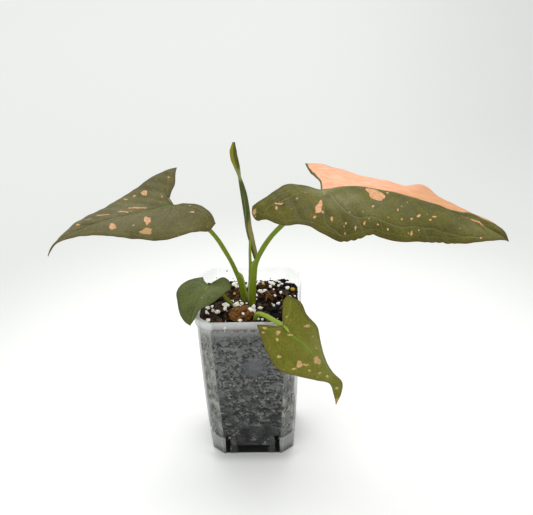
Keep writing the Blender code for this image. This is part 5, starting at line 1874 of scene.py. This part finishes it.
def make_rolled_leaf(material):
    """The unopened blade, rolled on itself: its free edge stands out as a step that winds upwards."""
    line = spline(ROLL_LINE, ROLL_ROWS)
    at = np.linspace(0, len(ROLL_LINE) - 1, ROLL_ROWS)
    known = np.arange(len(ROLL_LINE))
    widths = np.interp(at, known, ROLL_WIDTHS) * ROLL_FULL
    depths = np.interp(at, known, ROLL_DEPTHS)
    rings, turns, along, right_side = [], [], [], []
    for number, (point, (across, up)) in enumerate(zip(line, ring_frames(line))):
        seam = math.radians(SEAM_FOOT + SEAM_WIND * number / ROLL_ROWS)
        ring = []
        for i in range(ROLL_SIDES):
            angle = 2 * math.pi * i / ROLL_SIDES
            turn = ((angle - seam) % (2 * math.pi)) / (2 * math.pi)
            swell = 1.0 - ROLL_STEP * turn
            x, y = (across * math.cos(angle), up * math.sin(angle))
            ring.append(point + x * swell * widths[number] / 2 + y * swell * depths[number] / 2)
            turns.append(turn)
            along.append(number / (ROLL_ROWS - 1))
            right_side.append((1 + math.cos(angle)) / 2)
        rings.append(ring)
    roll = object_from(loft(rings), "leaf_new_roll", material)
    set_attributes(roll, turn=turns, along=along, right_side=right_side)
    dress(roll, "rolled_leaf", "leaf_new_rolled")


def rolled_leaf_material():
    """The rolled blade: dark green above; low down olive, painted paler towards its lit right side; a spoon
    at its tip, yellow-green on its left and painted darker on its shaded right.
    """
    material, tree, shader, place = new_material("rolled_leaf_skin")
    along, turn = attribute(tree, "along"), attribute(tree, "turn")
    lit = attribute(tree, "right_side")
    slanted = maths(tree, "MULTIPLY_ADD", lit, -0.12, along)
    # Painted light and shade: the low part is paler on its right side, and the spoon darker on its right.
    low = mixed(tree, fade(tree, lit, 0.25, 0.6), tint(62, 72, 26), tint(150, 140, 82))
    colour = mixed(tree, fade(tree, slanted, 0.22, 0.3), low, tint(66, 80, 28))
    colour = mixed(tree, fade(tree, along, 0.66, 0.71), colour, tint(140, 148, 94))
    spoon = mixed(tree, fade(tree, lit, 0.4, 0.66), tint(140, 132, 22), tint(78, 84, 26))
    colour = mixed(tree, fade(tree, along, 0.76, 0.8), colour, spoon)
    rib = fade(tree, turn, 0.0, 0.05, 0.7, 0.0)
    rib = times(tree, rib, fade(tree, along, 0.5, 0.62, 1.0, 0.0))
    colour = mixed(tree, rib, colour, tint(172, 170, 116))
    rolls = fade(tree, maths(tree, "PINGPONG", turn, 0.16), 0.0, 0.03, 0.35, 0.0)
    colour = mixed(tree, rolls, colour, tint(44, 54, 18))
    grain = speckle(tree, stretched(tree, place, (1, 1, 0.2)), 0.6, 2.0)
    colour = mixed(tree, fade(tree, grain, 0.4, 0.7, 0.0, 0.3), colour, tint(122, 118, 60))
    fill(tree, shader.inputs, {
        "Base Color": colour, "Roughness": 0.45, "Specular IOR Level": 0.22,
        "Normal": bumped(tree, grain, 0.15, 0.6),
    })
    return material


def finish_stem():
    """The buried stem keeps its solid, with a corky skin."""
    skin = grain_material("stem_skin", tint(92, 84, 50), tint(142, 132, 86), 4.0, 0.8, 0.3)
    paint(bpy.data.objects["stem"], skin)


view = make_camera()
make_light()
make_floor()
SHARED = {"veins": make_vein_group(), "cloud": make_cloud_group()}
make_pot()
make_mix(view)
finish_stem()
for blade_key in BLADES:
    look = {**LEAF_LOOK, **LOOKS[blade_key], "heading": BLADES[blade_key]["turn"][2]}
    look = {name: tint(*value) if isinstance(value, tuple) else value for name, value in look.items()}
    make_leaf(blade_key, (
        leaf_material(f"leaf_{blade_key}_skin", look),
        leaf_back_material(f"leaf_{blade_key}_underside", look),
    ))
stalk_green = stalk_material("petiole_green", *STALK_GREENS)
stalk_lime = stalk_material("young_lime", *STALK_LIMES)
for blade_key in PETIOLE_LINES:
    make_petiole(blade_key, stalk_lime if blade_key == "front" else stalk_green)
make_young_petiole(stalk_green)
make_rolled_leaf(rolled_leaf_material())
